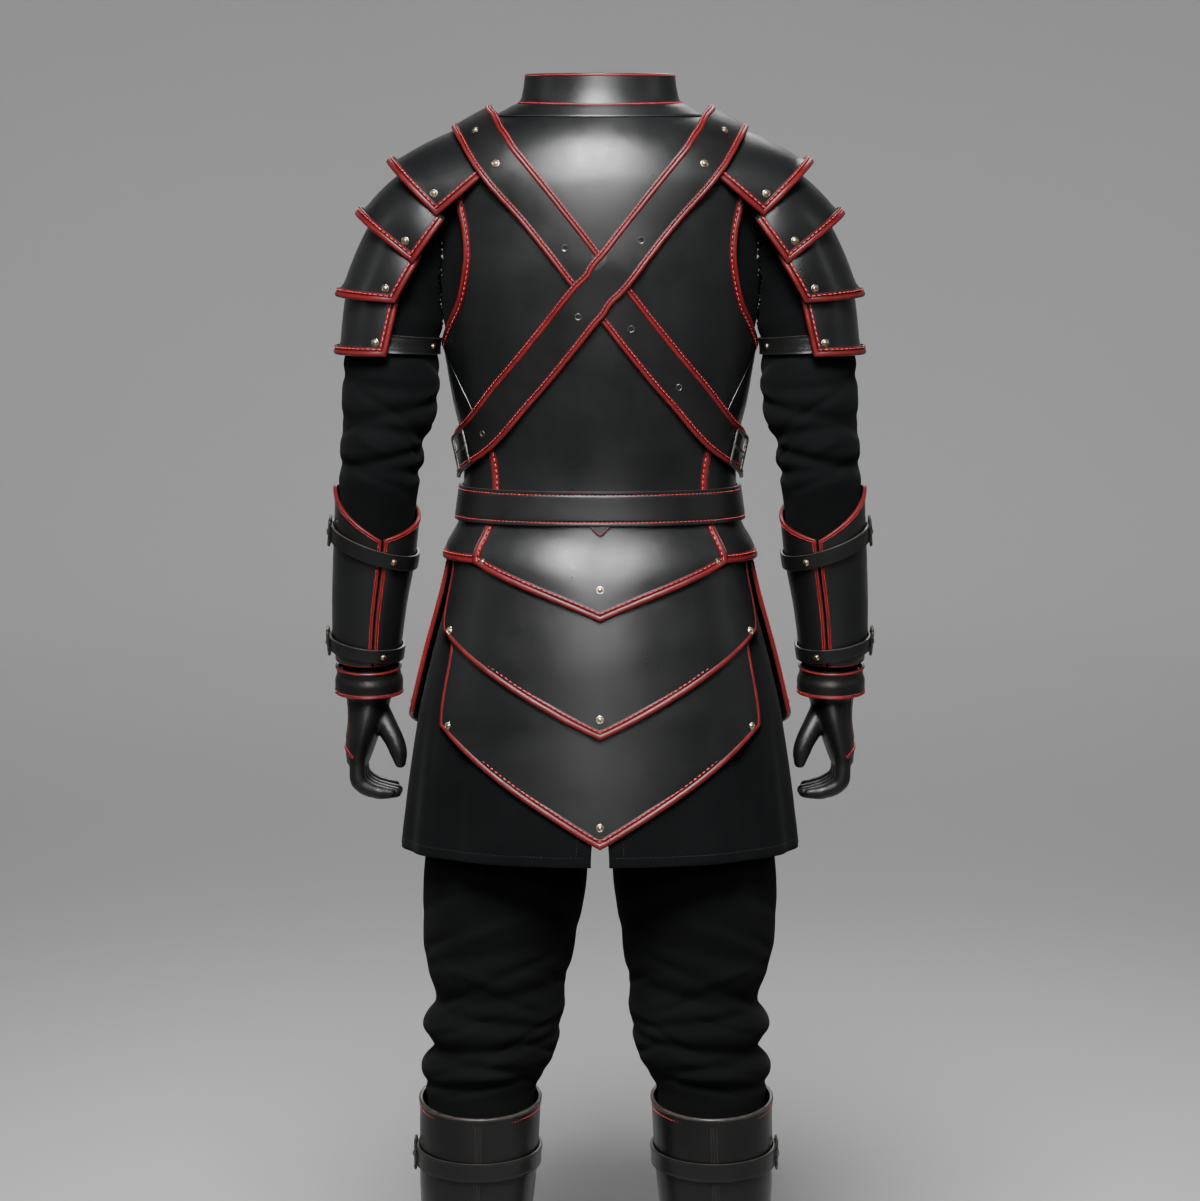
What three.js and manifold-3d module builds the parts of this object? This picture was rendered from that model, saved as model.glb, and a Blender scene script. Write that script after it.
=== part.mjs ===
// Leather armour set, filled out as it is worn: a cloth tunic and trousers, and over them a back, front and side
// panels with a collar, crossed shoulder straps, a belt, hanging plates, shoulder lames, forearm guards, gloves and
// boots. Millimetres, +Z up. The wearer looks along +Y, so the back of the set faces -Y and the wearer's right is +X.
// Heights in the tables are above the boot soles. The group is lowered at the end, so that the origin is the point
// between the shoulders where the wearer carries the set.
import * as THREE from "three";
import { mergeVertices } from "three/addons/utils/BufferGeometryUtils.js";
import Module from "manifold-3d";

const wasm = await Module();
wasm.setup();

const HELD_HEIGHT = 1500;
const DEGREE = Math.PI / 180;

// Wall thicknesses and the gap that curved pieces keep from the piece below.
const CLOTH = 2;
const PANEL = 3.5;
const LAME = 3.2;
const STRAP = 3;
const LAYER_GAP = 1.2;
const SEAM = 0.4;
const EDGE_RISE = 1.5;

// How far each layer's inside stands off the figure.
const LIFT = {
  panel: CLOTH + LAYER_GAP,
  lowerPlate: CLOTH + LAYER_GAP,
  middlePlate: CLOTH + LAYER_GAP + PANEL + 1.7,
  upperPlate: CLOTH + LAYER_GAP + 2 * (PANEL + 1.7),
  belt: CLOTH + PANEL + 2 * LAYER_GAP,
  strap: CLOTH + PANEL + 2 * LAYER_GAP + 0.5,
};

// The figure under the cloth: half width, depth to the back, depth to the front, and how square the section is.
const FIGURE = [
  { height: 600, side: 238, back: 172, front: 166, square: 2.1 },
  { height: 683, side: 229, back: 164, front: 157, square: 2.1 },
  { height: 734, side: 223, back: 158, front: 151, square: 2.1 },
  { height: 781, side: 216, back: 152, front: 145, square: 2.15 },
  { height: 827, side: 208.5, back: 146, front: 139, square: 2.15 },
  { height: 851, side: 204, back: 143, front: 136, square: 2.2 },
  { height: 909, side: 190, back: 135, front: 129, square: 2.2 },
  { height: 967, side: 174, back: 124, front: 119, square: 2.2 },
  { height: 1013, side: 163, back: 115, front: 111, square: 2.25 },
  { height: 1060, side: 155, back: 107, front: 104, square: 2.25 },
  { height: 1105, side: 149.5, back: 103, front: 101, square: 2.25 },
  { height: 1150, side: 151, back: 105, front: 104, square: 2.25 },
  { height: 1200, side: 162, back: 111, front: 113, square: 2.25 },
  { height: 1250, side: 170.5, back: 117, front: 121, square: 2.25 },
  { height: 1300, side: 181, back: 120, front: 126, square: 2.25 },
  { height: 1350, side: 189, back: 122, front: 127, square: 2.25 },
  { height: 1400, side: 192, back: 120, front: 122, square: 2.2 },
  { height: 1440, side: 190, back: 115, front: 114, square: 2.2 },
  { height: 1470, side: 179, back: 106, front: 104, square: 2.1 },
  { height: 1490, side: 156, back: 97, front: 97, square: 2.05 },
  { height: 1509, side: 123, back: 84, front: 90, square: 2 },
  { height: 1526, side: 87, back: 69, front: 80, square: 2 },
  { height: 1540, side: 76, back: 60, front: 73, square: 2 },
  { height: 1560, side: 72, back: 57, front: 70, square: 2 },
];

// Where the back and front panels end sideways: the waist seams, then the armhole up to the shoulder seam.
const PANEL_EDGE = [
  { height: 940, x: 134 },
  { height: 1012, x: 132 },
  { height: 1057, x: 124 },
  { height: 1103, x: 116.5 },
  { height: 1156, x: 124 },
  { height: 1195, x: 141 },
  { height: 1230, x: 158 },
  { height: 1262, x: 172 },
  { height: 1288, x: 166 },
  { height: 1313, x: 156 },
  { height: 1358, x: 148.5 },
  { height: 1389, x: 150 },
  { height: 1420, x: 156 },
  { height: 1455, x: 158 },
  { height: 1478, x: 158 },
  { height: 1491, x: 154.4 },
];
const SHOULDER_SEAM_HEIGHT = 1491;
const NECK_HEIGHT = 1524;
const ARMHOLE_FOOT = 1262;

// The arm from shoulder to wrist: centre, tilt of the ring outwards and forwards, half width and half depth.
const ARM = [
  { s: 0, x: 146, y: 0, z: 1404, roll: 64, pitch: 0, wide: 64, deep: 54 },
  { s: 35, x: 178, y: 0, z: 1392, roll: 56, pitch: 0, wide: 66, deep: 56 },
  { s: 72, x: 204, y: 0, z: 1364, roll: 40, pitch: 0, wide: 62, deep: 58 },
  { s: 115, x: 222, y: -1, z: 1325, roll: 22, pitch: 0, wide: 56, deep: 58 },
  { s: 145, x: 230, y: -2, z: 1296, roll: 10, pitch: 0, wide: 53.5, deep: 57 },
  { s: 178, x: 236.3, y: -3, z: 1262, roll: 4, pitch: 0, wide: 50.5, deep: 54 },
  { s: 205, x: 238, y: -4, z: 1236, roll: 2, pitch: 0, wide: 55, deep: 57 },
  { s: 244, x: 239, y: -6, z: 1197, roll: 0, pitch: 0, wide: 56, deep: 58 },
  { s: 302, x: 248, y: -8, z: 1139, roll: 0, pitch: 3, wide: 49.5, deep: 54 },
  { s: 326, x: 251, y: -8, z: 1115, roll: 0, pitch: 6, wide: 49.5, deep: 53 },
  { s: 361, x: 254, y: -4, z: 1080, roll: 0, pitch: 9, wide: 45.5, deep: 48 },
  { s: 430, x: 260, y: 8, z: 1012, roll: 0, pitch: 10, wide: 43, deep: 45 },
  { s: 483, x: 266, y: 17, z: 960, roll: 0, pitch: 10, wide: 39, deep: 41 },
  { s: 530, x: 269, y: 25, z: 914, roll: 0, pitch: 10, wide: 35.5, deep: 37 },
  { s: 566, x: 268, y: 31, z: 878, roll: 0, pitch: 8, wide: 30, deep: 33 },
  { s: 592, x: 268, y: 35, z: 852, roll: 0, pitch: 4, wide: 29, deep: 34 },
];

// The leg from the crotch to the boot: centre and half sizes. The left and right feet stand a little differently.
const LEG = [
  { height: 830, x: 91, y: -2, wide: 90, deep: 104 },
  { height: 770, x: 97, y: -2, wide: 93, deep: 102 },
  { height: 700, x: 106, y: -2, wide: 93.5, deep: 98 },
  { height: 640, x: 110, y: -2, wide: 94.5, deep: 94 },
  { height: 590, x: 113.5, y: -2, wide: 90.5, deep: 88 },
  { height: 545, x: 115.5, y: -3, wide: 85, deep: 82 },
  { height: 510, x: 113, y: -4, wide: 76, deep: 76 },
  { height: 474, x: 119, y: -6, wide: 82, deep: 80 },
  { height: 450, x: 118.5, y: -7, wide: 74, deep: 75 },
  { height: 427, x: 126.5, y: -8, wide: 76, deep: 77 },
  { height: 405, x: 133, y: -10, wide: 65.5, deep: 65 },
  { height: 380, x: 133, y: -10, wide: 62, deep: 62 },
  { height: 335, x: 134, y: -11, wide: 61, deep: 61 },
];

// The boot shaft above the ankle.
const BOOT = [
  { height: 92, x: 146, y: 6, wide: 44, deep: 58, slope: 0 },
  { height: 130, x: 145, y: -2, wide: 45, deep: 50, slope: 0 },
  { height: 190, x: 142, y: -10, wide: 53, deep: 55, slope: 1 },
  { height: 260, x: 138.5, y: -14, wide: 65, deep: 64, slope: 3 },
  { height: 330, x: 135.5, y: -13, wide: 69, deep: 69, slope: 4 },
  { height: 389, x: 134, y: -11, wide: 70.5, deep: 71, slope: 5 },
];
const BOOT_WALL = 3;
const FOOT_SHIFT = { left: 5, right: -4 };

// Smooth value of one column of a table at a place between its rows.
function valueAt(table, key, column, at) {
  const down = table[0][key] > table[table.length - 1][key];
  const rows = down ? [...table].reverse() : table;
  let i = 0;
  while (i < rows.length - 2 && rows[i + 1][key] < at) i++;
  const slope = (j) => {
    const a = rows[Math.max(0, j - 1)];
    const b = rows[Math.min(rows.length - 1, j + 1)];
    return (b[column] - a[column]) / (b[key] - a[key]);
  };
  const from = rows[i];
  const to = rows[i + 1];
  const span = to[key] - from[key];
  const t = (at - from[key]) / span;
  if (t < 0) return from[column] + slope(i) * span * t;
  if (t > 1) return to[column] + slope(i + 1) * span * (t - 1);
  const t2 = t * t;
  const t3 = t2 * t;
  return (2 * t3 - 3 * t2 + 1) * from[column] + (t3 - 2 * t2 + t) * span * slope(i) +
    (3 * t2 - 2 * t3) * to[column] + (t3 - t2) * span * slope(i + 1);
}

// Straight-line value between rows, for edges with corners.
function straightAt(table, key, column, at) {
  let i = 0;
  while (i < table.length - 2 && table[i + 1][key] < at) i++;
  const t = Math.min(1, Math.max(0, (at - table[i][key]) / (table[i + 1][key] - table[i][key])));
  return table[i][column] * (1 - t) + table[i + 1][column] * t;
}

const mix = (a, b, t) => a + (b - a) * t;
const smooth = (from, to, at) => {
  const t = Math.min(1, Math.max(0, (at - from) / (to - from)));
  return t * t * (3 - 2 * t);
};
const steps = (count, from = 0, to = 1) => Array.from({ length: count + 1 }, (_, i) => mix(from, to, i / count));
const signedPower = (value, power) => Math.sign(value) * Math.abs(value) ** power;

// A point of the figure. Angle 0 is the middle of the back, 90 degrees the +X side, 180 the middle of the front.
function figureSurface(angle, height) {
  const side = valueAt(FIGURE, "height", "side", height);
  const depth = valueAt(FIGURE, "height", Math.cos(angle) > 0 ? "back" : "front", height);
  const power = 2 / valueAt(FIGURE, "height", "square", height);
  return new THREE.Vector3(
    side * signedPower(Math.sin(angle), power),
    -depth * signedPower(Math.cos(angle), power),
    height,
  );
}

function figureFrame(angle, height) {
  const across = figureSurface(angle + 0.02, height).sub(figureSurface(angle - 0.02, height)).divideScalar(0.04);
  const up = figureSurface(angle, height + 1).sub(figureSurface(angle, height - 1)).divideScalar(2);
  return { across, up, normal: across.clone().cross(up).normalize() };
}

function figure(angle, height, lift) {
  return figureSurface(angle, height).addScaledVector(figureFrame(angle, height).normal, lift);
}

// The angle at which the figure's back reaches a distance x from the middle.
function angleAt(x, height) {
  const side = valueAt(FIGURE, "height", "side", height);
  const square = valueAt(FIGURE, "height", "square", height);
  return Math.sign(x) * Math.asin(Math.min(1, (Math.abs(x) / side) ** (square / 2)));
}

// A point of the arm at a distance s down it, at an angle around it: 0 outside, 90 back, 180 inside, 270 front.
function arm(side, s, angle, lift) {
  const at = (column) => valueAt(ARM, "s", column, s);
  const roll = at("roll") * DEGREE;
  const pitch = at("pitch") * DEGREE;
  const out = (at("wide") + lift) * Math.cos(angle);
  const back = (at("deep") + lift) * Math.sin(angle);
  return new THREE.Vector3(
    side * (at("x") + out * Math.cos(roll)),
    at("y") - back * Math.cos(pitch),
    at("z") + out * Math.sin(roll) - back * Math.sin(pitch),
  );
}

const footShift = (side, height) =>
  (side < 0 ? -FOOT_SHIFT.left : FOOT_SHIFT.right) * (1 - smooth(450, 640, height));

// A closed geometry between an outer and an inner grid of points, [column][row]. Each quad is split along its
// shorter diagonal.
function wallBetween(outer, inner, closed) {
  const columns = outer.length;
  const rows = outer[0].length;
  const index = [];
  const at = (face, column, row) => (face * columns + (column % columns)) * rows + row;
  const points = [outer, inner].flat(2);
  const quad = (a, b, c, d) => {
    const across = points[a].distanceToSquared(points[c]) > points[b].distanceToSquared(points[d]) + 1e-6;
    index.push(...(across ? [a, b, d, b, c, d] : [a, b, c, a, c, d]));
  };
  const last = closed ? columns : columns - 1;
  for (let c = 0; c < last; c++) {
    for (let r = 0; r < rows - 1; r++) {
      quad(at(0, c, r), at(0, c + 1, r), at(0, c + 1, r + 1), at(0, c, r + 1));
      quad(at(1, c, r), at(1, c, r + 1), at(1, c + 1, r + 1), at(1, c + 1, r));
    }
    quad(at(0, c, 0), at(1, c, 0), at(1, c + 1, 0), at(0, c + 1, 0));
    quad(at(0, c, rows - 1), at(0, c + 1, rows - 1), at(1, c + 1, rows - 1), at(1, c, rows - 1));
  }
  for (let r = 0; r < rows - 1 && !closed; r++) {
    quad(at(0, 0, r), at(0, 0, r + 1), at(1, 0, r + 1), at(1, 0, r));
    quad(at(0, last, r), at(1, last, r), at(1, last, r + 1), at(0, last, r + 1));
  }
  return geometryFrom(points.flatMap((p) => [p.x, p.y, p.z]), index);
}

// A closed geometry through rings of points, with a flat fan at each end.
function loft(rings) {
  const count = rings[0].length;
  const position = rings.flat().flatMap((p) => [p.x, p.y, p.z]);
  const index = [];
  for (let r = 0; r < rings.length - 1; r++) {
    for (let c = 0; c < count; c++) {
      const [a, b] = [r * count + c, r * count + ((c + 1) % count)];
      index.push(a, b, b + count, a, b + count, a + count);
    }
  }
  for (const [r, turned] of [[0, true], [rings.length - 1, false]]) {
    const centre = rings[r].reduce((sum, p) => sum.add(p), new THREE.Vector3()).divideScalar(count);
    const middle = position.length / 3;
    position.push(centre.x, centre.y, centre.z);
    for (let c = 0; c < count; c++) {
      const [a, b] = [r * count + c, r * count + ((c + 1) % count)];
      index.push(...(turned ? [middle, b, a] : [middle, a, b]));
    }
  }
  return geometryFrom(position, index);
}

// A geometry with its faces turned out.
function geometryFrom(position, index) {
  const corner = (i) => new THREE.Vector3().fromArray(position, 3 * i);
  let volume = 0;
  for (let i = 0; i < index.length; i += 3) {
    volume += corner(index[i]).dot(corner(index[i + 1]).cross(corner(index[i + 2])));
  }
  if (volume < 0) index.reverse();
  const geometry = new THREE.BufferGeometry();
  geometry.setAttribute("position", new THREE.Float32BufferAttribute(position, 3));
  geometry.setIndex(index);
  return geometry;
}

function solidOf(geometry) {
  const bare = geometry.clone();
  bare.deleteAttribute("normal");
  bare.deleteAttribute("uv");
  const merged = mergeVertices(bare, 1e-3);
  return new wasm.Manifold(
    new wasm.Mesh({
      numProp: 3,
      vertProperties: new Float32Array(merged.attributes.position.array),
      triVerts: new Uint32Array(merged.index.array),
    }),
  );
}

function geometryOf(solid) {
  const mesh = solid.getMesh();
  const geometry = new THREE.BufferGeometry();
  geometry.setAttribute("position", new THREE.BufferAttribute(mesh.vertProperties, 3));
  geometry.setIndex(new THREE.BufferAttribute(mesh.triVerts, 1));
  return geometry;
}

const largest = (solid) => solid.decompose().sort((a, b) => b.volume() - a.volume())[0];

function material(name, colour, roughness, metalness = 0) {
  return new THREE.MeshStandardMaterial({ name, color: colour, roughness, metalness });
}

const LEATHER = material("black_leather", 0x16171a, 0.42);
const STRAP_LEATHER = material("strap_leather", 0x1c1b1a, 0.5);
const TUNIC_CLOTH = material("tunic_cloth", 0x0d1012, 0.95);
const TROUSER_CLOTH = material("trouser_cloth", 0x0c0c0f, 0.95);
const BOOT_LEATHER = material("boot_leather", 0x1b1917, 0.45);
const GLOVE_LEATHER = material("glove_leather", 0x131110, 0.5);
const STEEL = material("buckle_steel", 0x9b9788, 0.3, 1);

const set = new THREE.Group();
set.position.z = -HELD_HEIGHT;

function addPiece(name, geometry, finish) {
  const mesh = new THREE.Mesh(geometry, finish);
  mesh.name = name;
  set.add(mesh);
}

// A wall whose inside follows point(across, along, lift), with its outer edge raised as a binding where
// bound(column, row) says so. Rows start at the foot of the plate.
function edgedPlate(point, columns, rows, inner, thickness, bound, rise = EDGE_RISE) {
  const last = columns.length - 1;
  const outer = columns.map((across, c) =>
    rows.map((along, r) => {
      const raised = bound(c === 0 || c === last, r, rows.length - 1) ? rise : 0;
      return point(across, along, inner + thickness + raised);
    }));
  const inside = columns.map((across) => rows.map((along) => point(across, along, inner)));
  return wallBetween(outer, inside, false);
}

const boundBelowTop = (atSide, row, top) => row === 0 || (atSide && row < top);

// A strap laid on the figure. path(t) gives its angle, height and lift, and the strap keeps its real width.
function strapOnFigure(path, places, width, thickness) {
  const across = [-0.5, -0.17, 0.17, 0.5];
  const rowOf = (extra) => (t) => {
    const here = path(t);
    const ahead = path(t + 0.004);
    const behind = path(t - 0.004);
    const frame = figureFrame(here.angle, here.height);
    const along = figureSurface(ahead.angle, ahead.height).sub(figureSurface(behind.angle, behind.height));
    const sideways = along.normalize().cross(frame.normal).normalize();
    const [aa, bb, ab] = [frame.across.dot(frame.across), frame.up.dot(frame.up), frame.across.dot(frame.up)];
    const [sa, sb] = [sideways.dot(frame.across), sideways.dot(frame.up)];
    const determinant = aa * bb - ab * ab;
    const turn = (sa * bb - sb * ab) / determinant;
    const climb = (sb * aa - sa * ab) / determinant;
    return across.map((k) => figure(here.angle + turn * k * width, here.height + climb * k * width,
      here.lift + extra));
  };
  return wallBetween(places.map(rowOf(thickness)), places.map(rowOf(0)), false);
}

// A band around the arm or the boot, between two edges given by lower(angle) and upper(angle).
function band(point, angles, lower, upper, inner, thickness, rows = [0, 1]) {
  const grid = (lift) => angles.map((angle) =>
    rows.map((t) => point(mix(lower(angle), upper(angle), t), angle, lift)));
  return wallBetween(grid(inner + thickness), grid(inner), true);
}

const around = (count) => steps(count, 0, 2 * Math.PI).slice(0, count);

// Tunic: a bodice with a yoke in a left and a right half over it, and the armholes cut where the sleeves enter.
const YOKE_SEAM_HEIGHT = 1335;
const BODICE_ROWS = [1060, 1140, 1180, 1262, YOKE_SEAM_HEIGHT - SEAM / 2];
const YOKE_ROWS = [YOKE_SEAM_HEIGHT + SEAM / 2, 1430, 1465, 1480, 1491, 1524];
const TORSO_COLUMNS = 16;
const BODICE_INSET = 2.3;

function bodiceRing() {
  const grid = (lift) => around(TORSO_COLUMNS).map((angle) =>
    BODICE_ROWS.map((height) => figure(angle, height, lift - BODICE_INSET)));
  return solidOf(wallBetween(grid(CLOTH), grid(0), true));
}

function yokeHalf(side) {
  const grid = (lift) => steps(TORSO_COLUMNS / 2, 0, 1).map((t) => YOKE_ROWS.map((height) => {
    const seam = angleAt(SEAM / 2, height);
    return figure(side * mix(seam, Math.PI - seam, t), height, lift - BODICE_INSET);
  }));
  return solidOf(wallBetween(grid(CLOTH), grid(0), false));
}

const SLEEVE_COLUMNS = 12;
const SLEEVE_TUCK = 1.7;
// The sleeve is sewn together under the upper arm's strap and inside the forearm guard.
const SLEEVE_SEAMS = [177.5, 338];
const SLEEVE_PARTS = {
  sleeve: [4, 45, 125, 160, SLEEVE_SEAMS[0] - SEAM / 2],
  elbow: [SLEEVE_SEAMS[0] + SEAM / 2, 206, 226, 246, 266, 284, 302, 318, SLEEVE_SEAMS[1] - SEAM / 2],
  foresleeve: [SLEEVE_SEAMS[1] + SEAM / 2, 490, 556],
};
// Creases that pinch the sleeve in, each a slanting ring: place down the arm, depth, spread and slant.
const SLEEVE_CREASES = [
  { place: 222, depth: 3, spread: 8, slant: 9, turn: 40 },
  { place: 252, depth: 5, spread: 9, slant: -12, turn: 120 },
  { place: 283, depth: 6, spread: 8, slant: 10, turn: 150 },
  { place: 306, depth: 6, spread: 7, slant: -9, turn: 100 },
  { place: 325, depth: 5, spread: 7, slant: 8, turn: 170 },
];

function sleeveCrease(s, angle) {
  return SLEEVE_CREASES.reduce((sum, crease) => {
    const centre = crease.place + crease.slant * Math.sin(angle - crease.turn * DEGREE);
    const strength = 0.65 + 0.35 * Math.cos(angle - crease.turn * DEGREE);
    return sum + crease.depth * strength * Math.exp(-(((s - centre) / crease.spread) ** 2));
  }, 0);
}

function sleeveWall(side, places) {
  const grid = (lift) => around(SLEEVE_COLUMNS).map((angle) => places.map((s) => {
    const tucked = SLEEVE_TUCK * smooth(306, 330, s);
    return arm(side, s, angle, lift - CLOTH - tucked - sleeveCrease(s, angle));
  }));
  return wallBetween(grid(CLOTH), grid(0), true);
}

function addTunic() {
  const torsoVolume = solidOf(loft([1180, 1222, 1262, YOKE_SEAM_HEIGHT, ...YOKE_ROWS.slice(1), 1540].map((height) =>
    around(TORSO_COLUMNS).map((angle) => figure(angle, height, CLOTH + SEAM - BODICE_INSET)))));
  let bodice = bodiceRing();
  for (const [name, side] of [["left", -1], ["right", 1]]) {
    const passage = solidOf(loft([-30, 4, 45, 85, 125].map((s) =>
      around(SLEEVE_COLUMNS).map((angle) => arm(side, s, angle, -CLOTH)))));
    bodice = bodice.subtract(passage);
    addPiece(`tunic_yoke_${name}`, geometryOf(largest(yokeHalf(side).subtract(passage))), TUNIC_CLOTH);
    for (const [part, places] of Object.entries(SLEEVE_PARTS)) {
      const tube = solidOf(sleeveWall(side, places));
      addPiece(`tunic_${part}_${name}`, geometryOf(largest(tube.subtract(torsoVolume))), TUNIC_CLOTH);
    }
  }
  addPiece("tunic_bodice", geometryOf(largest(bodice)), TUNIC_CLOTH);
  addSkirt();
}

// The skirt hangs from the waist seam to the hem in two halves, open up the middle of the back.
const HEM_HEIGHT = 683;
const VENT_TOP = 800;
const VENT_HALF_GAP = 10;
const SKIRT_ROWS = [HEM_HEIGHT, 722, 772, 830, 900, 970, 1025, 1059.6];
const WAIST_TUCK = 1.2;
// Soft vertical flutes, pressed in: where around the skirt, how deep at the hem, and how wide.
const FLUTES = [
  { angle: 47, depth: 9, spread: 6 },
  { angle: 72, depth: 5, spread: 6 },
  { angle: 108, depth: 7, spread: 7 },
  { angle: 138, depth: 8, spread: 6 },
  { angle: 160, depth: 4, spread: 6 },
];

function fluteDepth(angle, height) {
  const degrees = Math.abs(angle) / DEGREE;
  const fall = smooth(960, HEM_HEIGHT, height);
  return FLUTES.reduce((sum, f) => sum + f.depth * fall * Math.exp(-(((degrees - f.angle) / f.spread) ** 2)), 0);
}

function addSkirt() {
  const columns = [0, 14, 28, 39, 47, 55, 63, 72, 84, 97, 108, 119, 130, 138, 147, 162, 180];
  for (const [name, side] of [["left", -1], ["right", 1]]) {
    const grid = (lift) => columns.map((degrees) => SKIRT_ROWS.map((height) => {
      const vent = VENT_HALF_GAP * smooth(VENT_TOP, HEM_HEIGHT, height) + SEAM / 2;
      const first = angleAt(vent, height);
      const last = Math.PI - angleAt(SEAM / 2, height);
      const angle = mix(first, last, degrees / 180);
      const tucked = WAIST_TUCK * smooth(1000, 1040, height);
      return figure(side * angle, height, lift - tucked - fluteDepth(angle, height));
    }));
    addPiece(`tunic_skirt_${name}`, wallBetween(grid(CLOTH), grid(0), false), TUNIC_CLOTH);
  }
}

// Trousers: a seat inside the skirt and two legs, cut along the middle into a left and a right half.
const SEAT = [
  { height: 1046, side: 154.6, back: 107.6, front: 104.2 },
  { height: 990, side: 160, back: 108, front: 104 },
  { height: 930, side: 172, back: 116, front: 110 },
  { height: 870, side: 180, back: 118, front: 110 },
  { height: 800, side: 183, back: 112, front: 104 },
];
const SEAT_COLUMNS = 16;
const LEG_COLUMNS = 13;
const LEG_HEIGHTS = [835, 630, 575, 536, 506, 485, 468, 452, 438, 425, 411, 392, 352];
// Bunched folds above the boots, slanting around the leg.
const LEG_CREASES = [
  { place: 560, depth: 3, spread: 11, slant: 20, turn: 60 },
  { place: 520, depth: 4, spread: 10, slant: 14, turn: 110 },
  { place: 488, depth: 6, spread: 8, slant: -9, turn: 80 },
  { place: 462, depth: 5, spread: 7, slant: 10, turn: 130 },
  { place: 438, depth: 6, spread: 7, slant: -9, turn: 60 },
  { place: 414, depth: 5, spread: 6, slant: 7, turn: 100 },
];

function legCrease(height, angle) {
  return LEG_CREASES.reduce((sum, crease) => {
    const centre = crease.place + crease.slant * Math.sin(angle - crease.turn * DEGREE);
    const strength = 0.6 + 0.4 * Math.cos(angle - crease.turn * DEGREE);
    return sum + crease.depth * strength * Math.exp(-(((height - centre) / crease.spread) ** 2));
  }, 0);
}

function legPoint(side, height, angle, lift) {
  const at = (column) => valueAt(LEG, "height", column, height);
  const reach = lift - legCrease(height, angle);
  return new THREE.Vector3(
    side * at("x") + footShift(side, height) + side * (at("wide") + reach) * Math.cos(angle),
    at("y") - (at("deep") + reach) * Math.sin(angle),
    height,
  );
}

function addTrousers() {
  const seatRing = (height, lift) => around(SEAT_COLUMNS).map((angle) => {
    const at = (column) => valueAt(SEAT, "height", column, height);
    const depth = Math.cos(angle) > 0 ? at("back") : at("front");
    return new THREE.Vector3((at("side") + lift) * Math.sin(angle), -(depth + lift) * Math.cos(angle), height);
  });
  const seatHeights = SEAT.map((row) => row.height);
  const seatOuter = loft(seatHeights.map((h) => seatRing(h, 0)));
  const seatInner = loft([1056, ...seatHeights.slice(1, -1), 800 + CLOTH].map((h) => seatRing(h, -CLOTH)));
  const legLoft = (side, lift, heights) => loft(heights.map((h) =>
    around(LEG_COLUMNS).map((angle) => legPoint(side, h, angle, lift))));
  const innerHeights = [835 - CLOTH, ...LEG_HEIGHTS.slice(1, -1), 330];
  const outer = solidOf(seatOuter).add(solidOf(legLoft(-1, 0, LEG_HEIGHTS))).add(solidOf(legLoft(1, 0, LEG_HEIGHTS)));
  const inner = solidOf(seatInner).add(solidOf(legLoft(-1, -CLOTH, innerHeights)))
    .add(solidOf(legLoft(1, -CLOTH, innerHeights)));
  const cloth = outer.subtract(inner);
  for (const [name, side] of [["left", -1], ["right", 1]]) {
    const half = new THREE.BoxGeometry(400, 600, 1200);
    half.translate(side * (200 + SEAM / 2), 0, 700);
    addPiece(`trousers_${name}`, geometryOf(largest(cloth.intersect(solidOf(half)))), TROUSER_CLOTH);
  }
}

// Body panels. across runs from -1 to 1 over the panel, along from its lower edge to its neck.
const CHEVRON_TIP = 954;
const CHEVRON_RISE = 61;

function panelReach(height) {
  if (height >= SHOULDER_SEAM_HEIGHT) return Math.PI / 2;
  return angleAt(straightAt(PANEL_EDGE, "height", "x", height), height);
}

// The panel flares out below the belt, to lie over the hanging plates.
const flare = (height) => (LIFT.upperPlate - LIFT.panel) * smooth(1060, 1026, height);

const PANEL_ROWS = [0, 1, 1056, 1103, 1140, 1180, 1222, ARMHOLE_FOOT, 1292, 1335, 1385, 1430, 1465, 1480, 1491,
  NECK_HEIGHT];
const SHOULDER_SEAM_GAP = 0.4;

// The two lowest rows follow the chevron, from its tip in the middle to its corners at the sides.
function panelHeight(across, row) {
  const lower = CHEVRON_TIP + CHEVRON_RISE * Math.abs(across) ** 0.85;
  if (row > 1) return PANEL_ROWS[row];
  return row === 0 ? lower : mix(lower, PANEL_ROWS[2], 0.25);
}

function mainPanelPoint(face) {
  return (across, row, lift) => {
    const height = panelHeight(across, row);
    const gap = height >= SHOULDER_SEAM_HEIGHT ? SHOULDER_SEAM_GAP : SEAM;
    const angle = across * (panelReach(height) - gap / valueAt(FIGURE, "height", "side", height));
    return figure(face === "back" ? angle : Math.PI - angle, height, lift + flare(height));
  };
}

function addPanels() {
  const half = [0.18, 0.36, 0.54, 0.74, 0.94, 1];
  const columns = [...[...half].reverse().map((k) => -k), 0, ...half];
  const rows = PANEL_ROWS.map((_, i) => i);
  const armholeRow = PANEL_ROWS.indexOf(ARMHOLE_FOOT);
  const bound = (atSide, row) => row === 0 || (atSide && (row === 1 || (row > armholeRow && row < armholeRow + 5)));
  for (const face of ["back", "front"]) {
    addPiece(`${face}_panel`, edgedPlate(mainPanelPoint(face), columns, rows, LIFT.panel, PANEL, bound), LEATHER);
  }
  for (const [name, side] of [["left", -1], ["right", 1]]) {
    const point = (across, row, lift) => {
      const height = panelHeight(1, row);
      const from = panelReach(height) + SEAM / valueAt(FIGURE, "height", "side", height);
      const angle = mix(from, Math.PI - from, across);
      return figure(side * angle, height, lift + flare(height));
    };
    const across = [0, 0.06, 0.2, 0.35, 0.5, 0.65, 0.8, 0.94, 1];
    const plate = edgedPlate(point, across, rows.slice(0, armholeRow + 1), LIFT.panel, PANEL, (_, row) => row === 0);
    addPiece(`side_panel_${name}`, plate, LEATHER);
  }
}

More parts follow.
